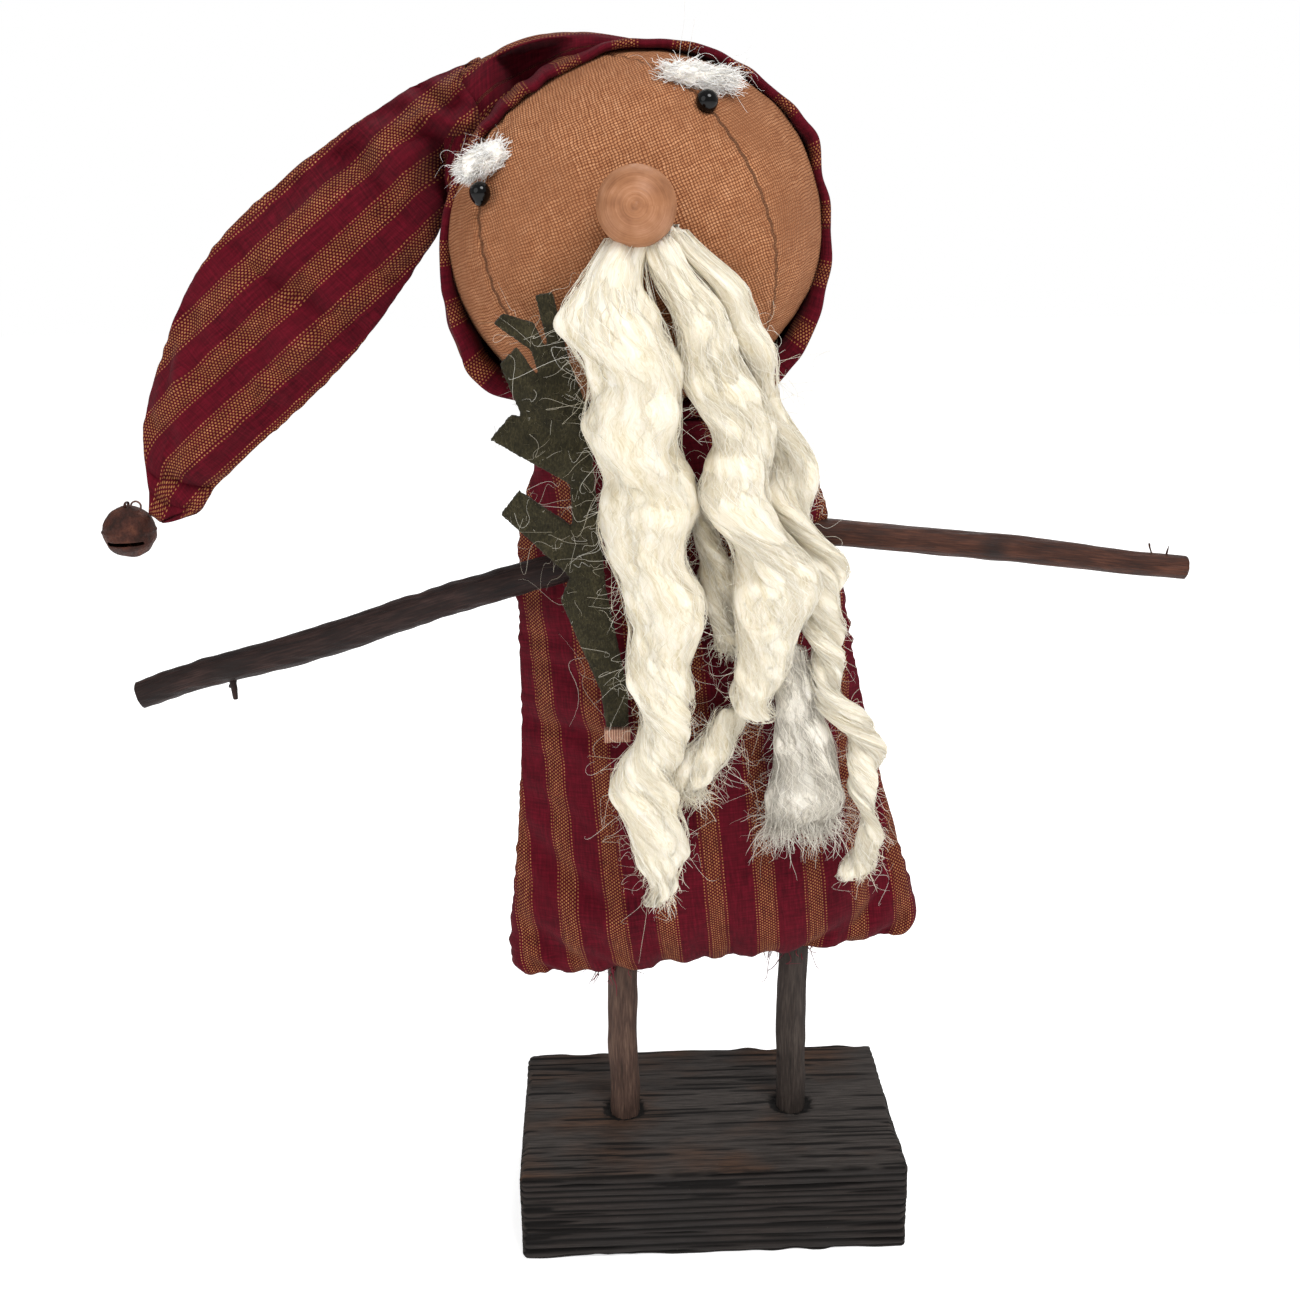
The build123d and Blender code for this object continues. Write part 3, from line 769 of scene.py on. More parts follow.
def blown_up(points, faces, seam, pressure):
    """Flat panels, held at their seams and filled by the cloth simulation."""
    mesh = bpy.data.meshes.new("panels")
    mesh.from_pydata((points * MM * SIMULATED_SIZE).tolist(), [], faces.tolist())
    panels = bpy.data.objects.new("panels", mesh)
    scene = bpy.context.scene
    scene.collection.objects.link(panels)
    panels.vertex_groups.new(name="seam").add(seam.tolist(), 1.0, "REPLACE")
    modifier = panels.modifiers.new("cloth", "CLOTH")
    for key, value in {**CLOTH, "uniform_pressure_force": pressure}.items():
        setattr(modifier.settings, key, value)
    modifier.settings.effector_weights.gravity = 0
    modifier.point_cache.frame_start, modifier.point_cache.frame_end = 1, CLOTH_STEPS
    for number in range(1, CLOTH_STEPS + 1):
        scene.frame_set(number)
    filled = panels.evaluated_get(bpy.context.evaluated_depsgraph_get()).data
    place = read(filled.vertices, "co", 3).astype(float) / MM / SIMULATED_SIZE
    scene.frame_set(1)
    bpy.data.objects.remove(panels)
    return place


def pillow(nodes, origin, axis, side, reach, pressure, columns, gain, grain=None):
    """Two panels sewn edge to edge, filled, and drawn to the CAD solid's width and thickness at each height.
    The stripes run down the middle, or along the second of two grain directions, and then the start of the
    pillow is open. Gives points, faces, the stripe coordinates, the distance from the seam and the place
    along it."""
    start, length = reach
    rows = int(length / PANEL_ROW)
    stations = np.linspace(start + 0.4, start + length - 0.4, rows)
    cut = slices(nodes, origin, axis, side, stations)
    middle, half, middle_y, half_y = (evened(column, 1) for column in cut.T)
    u = np.linspace(-1, 1, columns)
    across = u[None] * half[:, None] * gain
    along = np.repeat(stations[:, None], columns, 1)
    sewn = np.ones((rows, columns), bool)
    sewn[1:-1, 1:-1] = False
    front = np.arange(rows * columns).reshape(rows, columns)
    back = front.copy()
    back[~sewn] = rows * columns + np.arange((~sewn).sum())
    share = (stations - stations[0]) / (stations[-1] - stations[0])
    lens = np.sqrt(np.maximum(1 - u**2, 0)) * (1 - np.abs(2 * share - 1) ** 8)[:, None]
    bulge = 3.0
    flat = np.stack([across + middle[:, None], -bulge * lens, along], -1)
    points = np.vstack([flat.reshape(-1, 3), (flat * (1, -1, 1))[~sewn]])
    faces = np.vstack([quads_of(front), quads_of(back)[:, ::-1]])
    points = blown_up(points, faces, front[sewn], pressure)
    low, high = points[front[:, 0]], points[front[:, -1]]
    wide = np.maximum(evened((high[:, 0] - low[:, 0]) / 2), 1.0)
    centre = evened((high[:, 0] + low[:, 0]) / 2)
    thick = evened(np.abs(points[front][..., 1]).max(1))
    level = np.maximum.accumulate((high[:, 2] + low[:, 2]) / 2 + 1e-6 * np.arange(rows))
    height = points[:, 2]

    def at(values):
        return np.interp(height, level, values)

    risen = at(stations) + np.clip(height - level[-1], 0, None) - np.clip(level[0] - height, 0, None)
    local = np.stack([
        at(middle) + (points[:, 0] - at(centre)) * at(half / wide),
        at(middle_y) + points[:, 1] * at(np.clip(evened(half_y) / np.maximum(thick, 0.4), 0.2, 40.0)),
        np.clip(risen, start, start + length),
    ], -1)
    world = origin + local @ np.stack([side, BACK, axis])
    across, along = (np.concatenate([values.ravel(), values[~sewn]]) for values in (across, along))
    edge = np.interp(along, stations, half * gain)
    weave = (across, along) if grain is None else (world @ grain[0], world @ grain[1])
    cage = add_piece(
        "cage", world, [faces], None,
        cloth=np.stack([*weave, 0 * edge], -1), flat=np.stack([across, along, edge], -1),
    )
    points, faces, (cloth, flat) = baked(cage, "SUBSURF", levels=2, render_levels=2)
    across, along, edge = flat.T
    from_start = along - start if grain is None else 1e3 + 0 * along
    from_seam = np.array([edge - np.abs(across), start + length - along, from_start])
    nearest = np.argmin(from_seam, axis=0)
    place = np.where(nearest == 0, along + 400 * (across > 0), across + 900 * nearest)
    return points, faces, cloth, np.maximum(from_seam.min(0), 0), place


def puckered(points, faces, distance, place, seed, depth, pitch, reach):
    """Gathers along a seam: uneven ripples square to it that die away into the cloth."""
    drift = 2.2 * np.sin(TAU * place / 61) + 1.3 * np.sin(TAU * place / 23)
    ripple = np.sin(TAU * place / pitch + drift) + 0.5 * np.sin(TAU * place / (0.57 * pitch) - drift)
    strength = depth * np.exp(-distance / reach) * np.clip(0.5 + 0.7 * waves(points, 24.0, seed), 0, 1.4)
    return roughened(points, faces, strength * ripple)


BODY_LEAN = math.radians(5.0)
STRIPE_PITCH, BODY_STRIPE = 19.3, 1.3
TAIL_STRIPE_PITCH, TAIL_STRIPE = 15.6, 361.0
TAIL_GRAIN = math.radians(39.5)      # the cap tail's stripes rise this steeply
TAIL_TIP = (3.0, 0.0, -11.0)         # how far the hemmed tip reaches past the filling
TIP_NARROWED, ROOT_NARROWED = 0.34, 0.22
TAIL_BEND = 22.0                     # a length along the tail from where it starts


def stuffed_body():
    nodes = ["body_front_panel", "body_back_panel"]
    axis = np.array([-math.sin(BODY_LEAN), 0, math.cos(BODY_LEAN)])
    side = np.array([math.cos(BODY_LEAN), 0, math.sin(BODY_LEAN)])
    corners, _ = cad_mesh(*nodes)
    lowest = corners[corners @ axis < (corners @ axis).min() + 0.5]
    origin = (lowest.min(0) + lowest.max(0)) / 2
    origin[1] = 0.0
    reach = ((corners - origin) @ axis).max()
    points, faces, cloth, distance, place = pillow(nodes, origin, axis, side, (0.0, reach), 5.0, 42, 1.06)
    points = puckered(points, faces, distance, place, 50, depth=0.5, pitch=9.0, reach=6.0)
    sag = 0.8 * waves(points, 46.0, 51, (1, 1, 2.2)) + 0.35 * waves(points, 17.0, 52, (1, 1, 1.8))
    points = roughened(points, faces, sag * smooth_step(0, 18, distance))
    piece = add_piece(
        "stuffed_body", points, faces, striped_cloth("body_cloth", STRIPE_PITCH, BODY_STRIPE), "figure",
        "striped_cloth", nodes + ["body_stuffing"], cloth=cloth,
    )
    return origin, axis, side


def bend_with_tail(piece, start, end):
    """Cloth whose place is baked into its mesh; start and end only become tuples that nothing uses."""
    tuple((start * MM).tolist())
    tuple((end * MM).tolist())
    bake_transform(piece)


def cap_tail():
    corners, _ = cad_mesh("hat_tail")
    tip = corners[np.argmin(corners[:, 2])] * (1, 0, 1)
    origin = corners[np.argmax(corners[:, 0])] * (1, 0, 1)
    axis = unit(tip - origin)
    side = np.array([axis[2], 0, -axis[0]])
    along = (corners - origin) @ axis
    start, end = along.min() + 1.0, along.max()
    rising = np.array([math.cos(TAIL_GRAIN), 0, math.sin(TAIL_GRAIN)])
    grain = np.array([-rising[2], 0, rising[0]]), rising
    points, faces, cloth, distance, place = pillow(
        ["hat_tail"], origin, axis, side, (start, end - start), 2.0, 26, 1.04, grain
    )
    points = puckered(points, faces, distance, place, 53, depth=0.22, pitch=11.0, reach=4.0)
    down = (points - origin) @ axis
    middle = smooth_step(0.0, 60.0, down - start) * smooth_step(0.0, 50.0, end - down)
    fold = 1.5 * np.sin(cloth[:, 0] * TAU / 27 + 0.9 * np.sin(cloth[:, 1] / 30))
    fold += 0.8 * waves(points, 38.0, 54)
    points = roughened(points, faces, fold * (0.3 + 0.7 * middle) * smooth_step(1.0, 12, distance))
    near_tip = smooth_step(24.0, 0.0, end - down)
    off = (points - origin) @ side
    outer_edge = off[down > end - 3.0].max()
    narrowed = (off - outer_edge) * TIP_NARROWED * near_tip
    narrowed += np.clip(off, 0, None) * ROOT_NARROWED * smooth_step(26.0, 0.0, down - start)
    points += np.array(TAIL_TIP) * (near_tip**1.5)[:, None] - side * narrowed[:, None]
    piece = add_piece(
        "cap_tail_cloth", points, faces, striped_cloth("tail_cloth", TAIL_STRIPE_PITCH, TAIL_STRIPE), None,
        "striped_cloth", ["hat_tail", "hat_tail_stuffing"], cloth=cloth,
    )
    near = origin + axis * (start + 2.0)
    bend_with_tail(piece, near, near + axis * TAIL_BEND)
    return near, axis


# ------------------------------------------------------------------ head and cap

GORES = ("head_front_gore", "head_left_gore", "head_back_gore", "head_right_gore")
HEAD_ROLL = math.radians(22.0)
FACE_TURN = math.radians(6.0)
CHEEKS = np.array(((-0.97, -0.2, -0.14), (0.96, -0.2, -0.15)))     # the head is fullest these ways
CHEEK_RISE = 3.0


def head_shape():
    """The head's middle, its crown, face and side directions as columns, and its half size along each."""
    corners, _ = cad_mesh(*GORES)
    middle, _ = box(*GORES)
    crown = np.array([-math.sin(HEAD_ROLL), 0, math.cos(HEAD_ROLL)])
    face = np.array([-math.sin(FACE_TURN), -math.cos(FACE_TURN), 0])
    face = unit(face - crown * (face @ crown))
    axes = np.stack([crown, face, np.cross(crown, face)], 1)
    reach = (corners - middle) @ axes
    return middle, axes, (reach.max(0) - reach.min(0)) / 2


def gored_head(middle, axes, half):
    rings, around, quarter = 150, 288, np.pi / 4
    polar = np.pi * (np.arange(rings)[:, None] + 0.5) / rings
    turn = circle(around) + np.pi / around - quarter
    level = np.sin(polar)
    sphere = np.stack(np.broadcast_arrays(np.cos(polar), level * np.cos(turn), level * np.sin(turn)), -1)
    heading = sphere @ axes.T
    skin = middle + (sphere * half) @ axes.T
    spots = skin.reshape(-1, 3)
    off_middle = (turn + quarter) % (2 * quarter) - quarter
    size = half.mean()
    from_seam = (quarter - np.abs(off_middle)) * level * size
    along = polar * size + 0 * from_seam
    lumps = 0.55 * waves(spots, 44.0, 60) + 0.18 * waves(spots, 13.0, 61)
    from_cheek = np.arccos(np.clip(heading @ CHEEKS.T, -1, 1)).min(-1)
    gather = 0.35 * np.exp(-from_seam / 3.5) * np.sin(TAU * along / 5.2 + np.sin(along / 9))
    near_side = smooth_step(12.0, -12.0, skin[..., 0] - middle[0]) * 0.75 + 0.25
    groove = near_side * (0.6 * hump(from_seam, 0, 0.9) - 0.3 * hump(from_seam, 2.2, 1.6))
    depth = lumps.reshape(from_seam.shape) + gather - groove + CHEEK_RISE * hump(from_cheek, 0, 0.75)
    points, faces = capped_rings(skin + heading * depth[..., None])
    cloth = np.stack([off_middle * level * size, along, 0 * along], -1).reshape(-1, 3)
    piece = add_piece(
        "head_cloth", points, faces, face_cloth(), "figure", "face_cloth", [*GORES, "head_stuffing"],
        cloth=np.vstack([cloth, [[0, 0, 0], [0, np.pi * size, 0]]]),
        seam=1 - np.append(hump(from_seam, 0, 1.1) * near_side, [0, 0]),
    )


CAP_POLE = (-0.42, 0.66, 0.62)       # where the cap's gathers meet, behind the head on the tail's side
CAP_CLEAR = 2.5
HEM_LEAN = 7.0                       # how far the hem leans over the brow on the tail's side
HEM_TURN = 0.34                      # how much wider the hem turns in for each millimetre of slack
# how loose the rim hangs, by the angle round it from the figure's left, in degrees and millimetres
RIM_SLACK = (
    (0, 1.5), (15, 0.5), (29, 3), (40, 1), (55, 0.5), (75, 0.5), (100, 0), (125, 0.3), (150, 1), (181, 1.5),
    (199, 4), (210, 6.5), (219, 10.5), (230, 8), (243, 3), (270, 1), (296, 6), (308, 9.5), (323, 8),
    (340, 4.5), (360, 1.5),
)
SLACK_EVENED = 26.0                  # the shortest unevenness of the rim that is kept, in waves round it
# the hem's section: outwards and backwards from the rim
HEM = (
    (-1.7, 6.5), (-1.6, 3.0), (-1.5, 0.0), (-1.3, -2.2), (-0.7, -3.5), (0.1, -3.9), (0.9, -3.3), (1.3, -1.8),
    (0.8, -0.6),
)
CROWN_STRIPES = 20


def cap_tilt(axes, half):
    """The matrix that turns unit directions into the cap's lining."""
    return axes @ np.diag(half + CAP_CLEAR) @ axes.T


def cap_crown(head, axes, half):
    """The cap over the back of the head: a rolled hem round the face and cloth drawn back to its gathers."""
    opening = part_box("hat_crown")[0][1] / MM
    tilt = cap_tilt(axes, half)
    around, rings = 420, 96
    turn = circle(around)
    degrees = np.degrees(turn)
    outward = np.stack([np.cos(turn), 0 * turn, np.sin(turn)], -1)
    pole = unit(np.array(CAP_POLE))
    level = (opening - head[1]) / tilt[1, 1]
    rim = outward * math.sqrt(1 - level**2) + BACK * level
    angle = np.arccos(np.clip(rim @ pole, -1, 1))
    share = np.linspace(0, 0.985, rings)[:, None]
    swing = share * angle
    heading = np.sin(angle - swing)[..., None] * rim + np.sin(swing)[..., None] * pole
    heading /= np.sin(angle)[:, None]
    slack = np.fft.rfft(np.interp(degrees, *np.array(RIM_SLACK, float).T))
    slack = np.fft.irfft(slack * hump(np.arange(len(slack)), 0, SLACK_EVENED), around)
    skin = head + heading @ tilt
    rumpled = hump(degrees, 38, 26) + 0.3 * hump(degrees, 122, 24) + 0.7 * hump(degrees, 222, 20)
    creases = waves(skin.reshape(-1, 3), 21.0, 62).reshape(rings, around)
    wrinkles = waves(skin.reshape(-1, 3), 10.0, 63, (1, 2.6, 1)).reshape(rings, around)
    lift = slack * (1 - smooth_step(0.0, 0.62, share)) + 0.5 * creases
    lift += wrinkles * (0.25 + 1.1 * rumpled) * (1 - 0.6 * smooth_step(0, 0.5, share))
    lift += 0.9 * np.sin(24 * turn + 1.5 * np.sin(3 * turn)) * smooth_step(0.45, 0.95, share) * (1 - share)
    skin += heading * np.maximum(lift, -0.5)[..., None]
    lean = HEM_LEAN * hump(degrees, 126, 30)
    hem = []
    for out, back in HEM:
        forward = lean * smooth_step(0.5, -2.5, back)
        turned = out * (1 + HEM_TURN * slack) if out < 0 else out
        hem.append(skin[0] + outward * (turned - 0.5 * forward)[:, None] + BACK * (back - forward)[:, None])
    points = np.concatenate([hem, skin])
    steps = np.linalg.norm(np.diff(points, axis=0), axis=2)
    along = np.vstack([np.zeros(around), np.cumsum(steps, 0)])
    across = np.broadcast_to(turn * STRIPE_PITCH * CROWN_STRIPES / TAU, along.shape)
    cloth = np.stack([across, along, 0 * along], -1).reshape(-1, 3)
    # the gathers are closed by a middle point, and the hem stays open
    last, j = (len(points) - 1) * around, np.arange(around)
    closing = np.stack([last + j, last + (j + 1) % around, np.full(around, last + around)], -1)
    faces = [ring_quads(len(points), around), closing]
    piece = add_piece(
        "cap_crown_cloth", np.vstack([points.reshape(-1, 3), points[-1].mean(0)]), faces,
        striped_cloth("crown_cloth", STRIPE_PITCH, 4.0), "figure", "striped_cloth", ["hat_crown"],
        cloth=np.vstack([cloth, cloth[last]]),
    )


# the fold that the tail's cloth makes over the crown: along X, its top, and its half thickness front to back
FOLD = (
    (-88, 437.0, 5.0), (-79, 444.0, 10.0), (-68, 449.5, 13.0), (-55, 453.2, 14.0), (-41, 454.2, 14.0),
    (-28, 452.6, 12.5), (-15, 449.8, 10.0), (-2, 446.4, 6.0), (8, 442.6, 3.0),
)
FOLD_MIDDLE = 1.0
FOLD_STRIPES = 3
HOLLOW = (-57.0, 10.5, 17.0)          # the dark opening under the fold: its middle in X, half width and depth


def cap_fold(head, axes, half, near, axis):
    """Cloth of the tail carried on over the crown, with an opening under its edge."""
    x, top, thick = eased(FOLD, 110).T[..., None]
    arc = np.linspace(0.05, np.pi - 0.05, 400)
    edge = head + np.stack([np.cos(arc), 0 * arc, np.sin(arc)], -1) @ cap_tilt(axes, half)
    under = np.minimum(np.interp(x, edge[::-1, 0], edge[::-1, 2]) - 5.0, top - 3.0)
    turn = circle(96)
    high = (top - under) / 2

    def blunt(values):
        return np.sign(values) * np.abs(values) ** 0.8

    z = under + high + high * blunt(np.sin(turn))
    below = smooth_step(2.0, 4.2, top - z)
    beside = np.exp(-(((x - HOLLOW[0]) / HOLLOW[1]) ** 4))
    opened = HOLLOW[2] * below * beside * smooth_step(0.05, 0.5, np.cos(turn))
    y = FOLD_MIDDLE - thick * blunt(np.cos(turn)) + opened
    points, faces = capped_rings(np.stack(np.broadcast_arrays(x, y, z), -1))
    creases = 0.45 * waves(points, 12.0, 66, (2.5, 1, 1)) + 0.3 * waves(points, 5.0, 67, (3, 1, 1))
    cloth = np.stack(np.broadcast_arrays(turn / TAU * STRIPE_PITCH * FOLD_STRIPES, x, 0.0), -1).reshape(-1, 3)
    piece = add_piece(
        "cap_fold", roughened(points, faces, creases), faces, striped_cloth("fold_cloth", STRIPE_PITCH, 12.0),
        None, "striped_cloth", cloth=np.vstack([cloth, cloth[0], cloth[-1]]),
    )
    bend_with_tail(piece, near - axis * 6, near + axis * TAIL_BEND)


# ------------------------------------------------------------------ face


def ball(node):
    """The middle and the radius of a ball, from the front of its CAD node."""
    middle, half = box(node)
    middle[1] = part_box(node)[0][1] / MM + half[0]
    return middle, half[0]


def nose():
    """A turned ball: fine rings round the pole that faces forward, and the lathe's mark on it."""
    middle, radius = ball("nose_ball")
    polar = np.linspace(0.004, np.pi * 0.97, 110)[:, None]
    turn = circle(128)
    pole = unit(np.array([-0.05, -0.998, 0.03]))
    side = unit(np.cross(UP, pole))
    arc = polar * radius
    cuts = 0.05 * np.sin(arc * TAU / 1.3) * (0.5 + 0.5 * np.sin(arc / 2.7)) + 0.10 * hump(arc, 6.1, 0.25)
    size = radius - cuts + 0.45 * hump(arc, 0, 0.75) - 0.35 * hump(arc, 1.3, 0.4)
    wide, long = np.sin(polar) * size, np.cos(polar) * size * (1 - 0.035 * np.cos(polar) ** 8)
    turned = np.stack(np.broadcast_arrays(wide * np.cos(turn), wide * np.sin(turn), long), -1)
    points, faces = capped_rings(middle + turned @ np.stack([side, np.cross(pole, side), pole]))
    ring = np.stack(np.broadcast_arrays(arc, turn * 3, 0.0), -1).reshape(-1, 3)
    add_piece(
        "turned_nose", points, faces, turned_wood(), "figure", "nose_wood", ["nose_ball"],
        ring=np.vstack([ring, ring[:1], ring[-1:]]),
    )


def eyes():
    black = glass_bead()
    polar, turn = np.linspace(0.02, np.pi - 0.02, 56)[:, None], circle(64)
    # how far each bead is drawn out to a point below
    for side, point in (("right", 0.18), ("left", 0.06)):
        middle, radius = ball(f"{side}_eye_bead")
        long = np.cos(polar) * (1 + point * (polar > np.pi / 2) * np.cos(polar) ** 2)
        wide = np.sin(polar) * (1 - 0.5 * point * (1 - np.cos(polar)) / 2)
        bead = np.stack(np.broadcast_arrays(wide * np.cos(turn), wide * np.sin(turn), long), -1)
        points, faces = capped_rings((middle + radius * bead)[:, ::-1])
        add_piece(f"{side}_eye", points, faces, black, "figure", "black_bead", [f"{side}_eye_bead"])


BROW_HAIRS, BROW_STRAYS = 1500, 70


def brows():
    white = fibre_wool("brow_wool", "#ebe6dd", "#ffffff")
    soft = wool("brow_core", "#dcd6ca", "#efebe2", "#fbf9f4")
    # which way most hairs lie, the tuft's tilt, and how much of the hair trails off at the outer end
    for seed, (side, outer, tilt, trail) in enumerate((("right", -1, 28.0, 0.25), ("left", 1, -8.0, 0.5))):
        node = f"{side}_brow_tuft"
        middle, half = box(node)
        rng = np.random.default_rng(70 + seed)
        along = np.array([math.cos(math.radians(tilt)), 0.0, math.sin(math.radians(tilt))])
        above = np.array([-along[2], 0.0, along[0]])
        wide = half[0] * 0.9
        tuft = np.stack([along * wide, above * half[2] * 0.66, BACK * half[1] * 0.8])

        def spots(theta, turn, grow=1.0):
            """Points of the tuft, its ends blunt."""
            bulge = np.abs(np.sin(theta)) ** 0.7 * grow
            return middle + np.stack([np.cos(theta), bulge * np.cos(turn), bulge * np.sin(turn)], -1) @ tuft

        theta, turn = np.meshgrid(np.linspace(0.06, np.pi - 0.06, 44), circle(64), indexing="ij")
        points, faces = capped_rings(spots(theta, turn)[::-1])
        rough = 0.8 * waves(points, 6.0, 71 + seed) + 0.3 * waves(points, 1.8, 73 + seed, (3, 1, 1))
        points = roughened(points, faces, rough)
        core = add_piece(
            f"{side}_brow_core", points, faces, soft, "figure", "white_wool", [node],
            fibre=np.stack([(points - middle) @ above, points[:, 1], (points - middle) @ along], -1),
            hollow=0 * points[:, 0],
        )
        count = BROW_HAIRS
        theta, turn = rng.uniform(0.12, 0.88, count) * np.pi, rng.uniform(0, TAU, count)
        starts = spots(theta, turn, rng.uniform(0.85, 1.12, count))
        way = along * np.where(rng.uniform(size=(count, 1)) < 0.75, outer, -outer)
        way = unit(way + 0.28 * rng.normal(size=(count, 3)) + 0.08 * unit(starts - middle))
        paths = curls(starts, way, rng.uniform(0.2, 0.55, count) * wide, 9, 0.35, 75 + seed)
        loose = slice(BROW_STRAYS)
        stray_long = rng.uniform(0.5, 0.8 + trail, BROW_STRAYS) * wide
        stray = curls(starts[loose], unit(way[loose] + along * outer * 0.9), stray_long, 14, 0.6, 77 + seed)
        made = joined([hair(paths, rng.uniform(0.09, 0.16, count)), hair(stray, 0.055)])
        add_fibres(f"{side}_brow_hair", made, white, "figure", "white_wool").parent = core.parent


# ------------------------------------------------------------------ beard

ROOTED = ("beard_main_lock", "beard_centre_lock", "beard_outer_lock")     # those that start under the nose
ROOT_RISE, ROOT_FADE, ROOT_PULL = 6.0, 14.0, 0.42     # their roots are drawn up and together behind it
HINGE_FADE = 16.0     # a distance below the beard's hinge
RING_STEP = 1.15


class Lock:
    """A hank of roving: plies that wind about the middle of its CAD solid."""

    def __init__(self, node, plies, turns, phase, spread, plump, crimp, seed):
        self.node, self.seed, self.plies, self.spread = node, seed, plies, spread
        corners, _ = cad_mesh(node)
        top, bottom = corners[:, 2].max() - 0.5, corners[:, 2].min() + 0.5
        self.length = top - bottom
        rings = max(int(self.length / RING_STEP), 24)
        cut = eased(slices([node], np.zeros(3), UP, OWN_LEFT, np.linspace(top, bottom, 48)), rings)
        self.z = np.linspace(top, bottom, rings)
        self.middle = np.stack([cut[:, 0], cut[:, 2], self.z], -1)
        self.half = np.stack([cut[:, 1], cut[:, 3], 0 * self.z], -1)
        self.share = share = np.linspace(0, 1, rings)
        if node in ROOTED:
            root = np.clip(1 - share * self.length / ROOT_FADE, 0, 1)[:, None] ** 2
            self.middle[:, 2:] += ROOT_RISE * root
            self.middle[:, :1] += ROOT_PULL * root * (box("nose_ball")[0][0] - self.middle[:, :1])
            self.half *= 1 - 0.15 * root
            self.z = self.middle[:, 2]
        self.half *= np.interp(share, *np.array(plump).T)[:, None]
        sway, swell, pitch = crimp
        beat = TAU * self.z / pitch + seed
        self.middle[:, 0] += sway * np.sin(beat) * smooth_step(0, 0.12, share)
        self.half[:, :2] *= 1 + swell * np.sin(1.3 * beat[:, None] + (1.0, 2.2))
        self.turn = phase + TAU * np.interp(share, *np.array(turns).T)

    def surface(self, ply, share, angle, lift):
        """Points on a ply at shares of the way down and angles round it, lifted off it in millimetres."""
        turn = self.turn + TAU * ply / self.plies
        compass = np.stack([np.cos(turn), np.sin(turn), 0 * turn], -1)
        pulse = 1 + 0.10 * np.sin(self.z / 11.0 + 2.1 * ply + self.seed)[:, None]
        middle = self.middle + compass * self.half * self.spread
        half = self.half * (1.0 - self.spread) * pulse
        place = np.stack([np.interp(share, self.share, row) for row in middle.T], -1)
        size = np.stack([np.interp(share, self.share, row) for row in half.T[:2]], -1)
        turn = angle + np.interp(share, self.share, self.turn)
        outward = np.stack([np.cos(turn), np.sin(turn), 0 * turn], -1)
        place[..., :2] += outward[..., :2] * (size + lift[..., None])
        return place, outward

    def scattered(self, ply, share, angle, lift):
        """The surface's points and outward directions where each has a ply of its own."""
        place, outward = np.empty((2, *share.shape, 3))
        for number in range(self.plies):
            own = ply == number
            place[own], outward[own] = self.surface(number, share[own], angle[own], lift(own))
        return place, outward

    def core(self, ply, around=52):
        angle, share = np.broadcast_arrays(circle(around), self.share[:, None])
        size = self.half[:, :2].mean() * (1 - self.spread)
        flat = np.stack([np.cos(angle) * size, np.sin(angle) * size, share * self.length], -1).reshape(-1, 3)
        flat = flat + (ply * 60, self.seed * 11, 0)
        ridge = 0.3 * waves(flat, 4.6, self.seed, (1, 1, 7))
        ridge += 0.1 * waves(flat, 1.9, self.seed + 1, (1, 1, 14))
        lump = 0.17 * size * waves(flat, 15.0, self.seed + 2)
        lump += 0.35 * waves(flat, 7.5, self.seed + 3, (1, 1, 1.6))
        blunt = 2.0 if self.node in ROOTED else 16.0
        taper = np.minimum(share * self.length / blunt, (1 - share) * self.length / 4.0 + 0.1)
        narrowed = (1 - np.sqrt(np.clip(taper, 0.0, 1))) * size * 0.6
        place, _ = self.surface(ply, share, angle, (ridge + lump).reshape(angle.shape) - narrowed)
        # painted shade: how much darker the wool is painted in the hollows between the ridges
        hollow = np.append(np.clip(0.2 - 0.8 * ridge, 0, 1), [0, 0])
        return (*capped_rings(place), np.vstack([flat, [[0, 0, 0], [0, 0, self.length]]]), hollow)

    def hairs(self, count, rng, radius):
        """Fibres that lie along the plies, a little proud of them."""
        t = np.linspace(0, 1, 15)
        column = (count, 1)
        ply = rng.integers(0, self.plies, count)
        start = rng.uniform(-0.05, 0.95, count)[:, None]
        long = rng.uniform(14, 52, count)[:, None]
        share = np.clip(start + long / self.length * t, 0.004, 0.998)
        wander = 0.16 * np.sin(t * TAU * long / rng.uniform(7, 15, column) + rng.uniform(0, 6, column))
        wander = wander + 0.3 * np.sin(t * rng.uniform(1, 4, column) + rng.uniform(0, 6, column))
        angle = rng.uniform(0, TAU, column) + wander
        lift = rng.uniform(0.0, 0.5, column) + 0.9 * np.sin(np.pi * t) * rng.uniform(0, 1, column) ** 3
        paths, _ = self.scattered(ply, share, angle, lambda own: lift[own])
        return hair(paths, radius * rng.uniform(0.6, 1.3, count), tips=0.4)

    def strays(self, count, rng, long, radius):
        """Fine fibres that leave the lock and curl back."""
        share, angle = rng.uniform(0.08, 0.98, count), rng.uniform(0, TAU, count)
        starts, outward = self.surface(1, share, angle, np.zeros(count))
        way = outward * rng.uniform(0.3, 1.0, (count, 1)) + rng.normal(size=(count, 3)) * 0.35
        way = unit(way - UP * rng.uniform(0.2, 1.2, (count, 1)))
        return hair(curls(starts, way, rng.uniform(0.4, 1, count) * long, 16, 1.0, self.seed), radius)

    def tip(self, count, rng, long, flare, radius):
        """The cut or frayed end."""
        share, angle = rng.uniform(0.9, 0.985, count), rng.uniform(0, TAU, count)
        ply = rng.integers(0, self.plies, count)
        starts, outward = self.scattered(ply, share, angle, lambda own: -rng.uniform(0, 2.5, own.sum()))
        way = unit(outward * flare + rng.normal(size=(count, 3)) * 0.22 - UP)
        return hair(curls(starts, way, rng.uniform(0.4, 1, count) * long, 12, 0.45, self.seed + 5), radius)


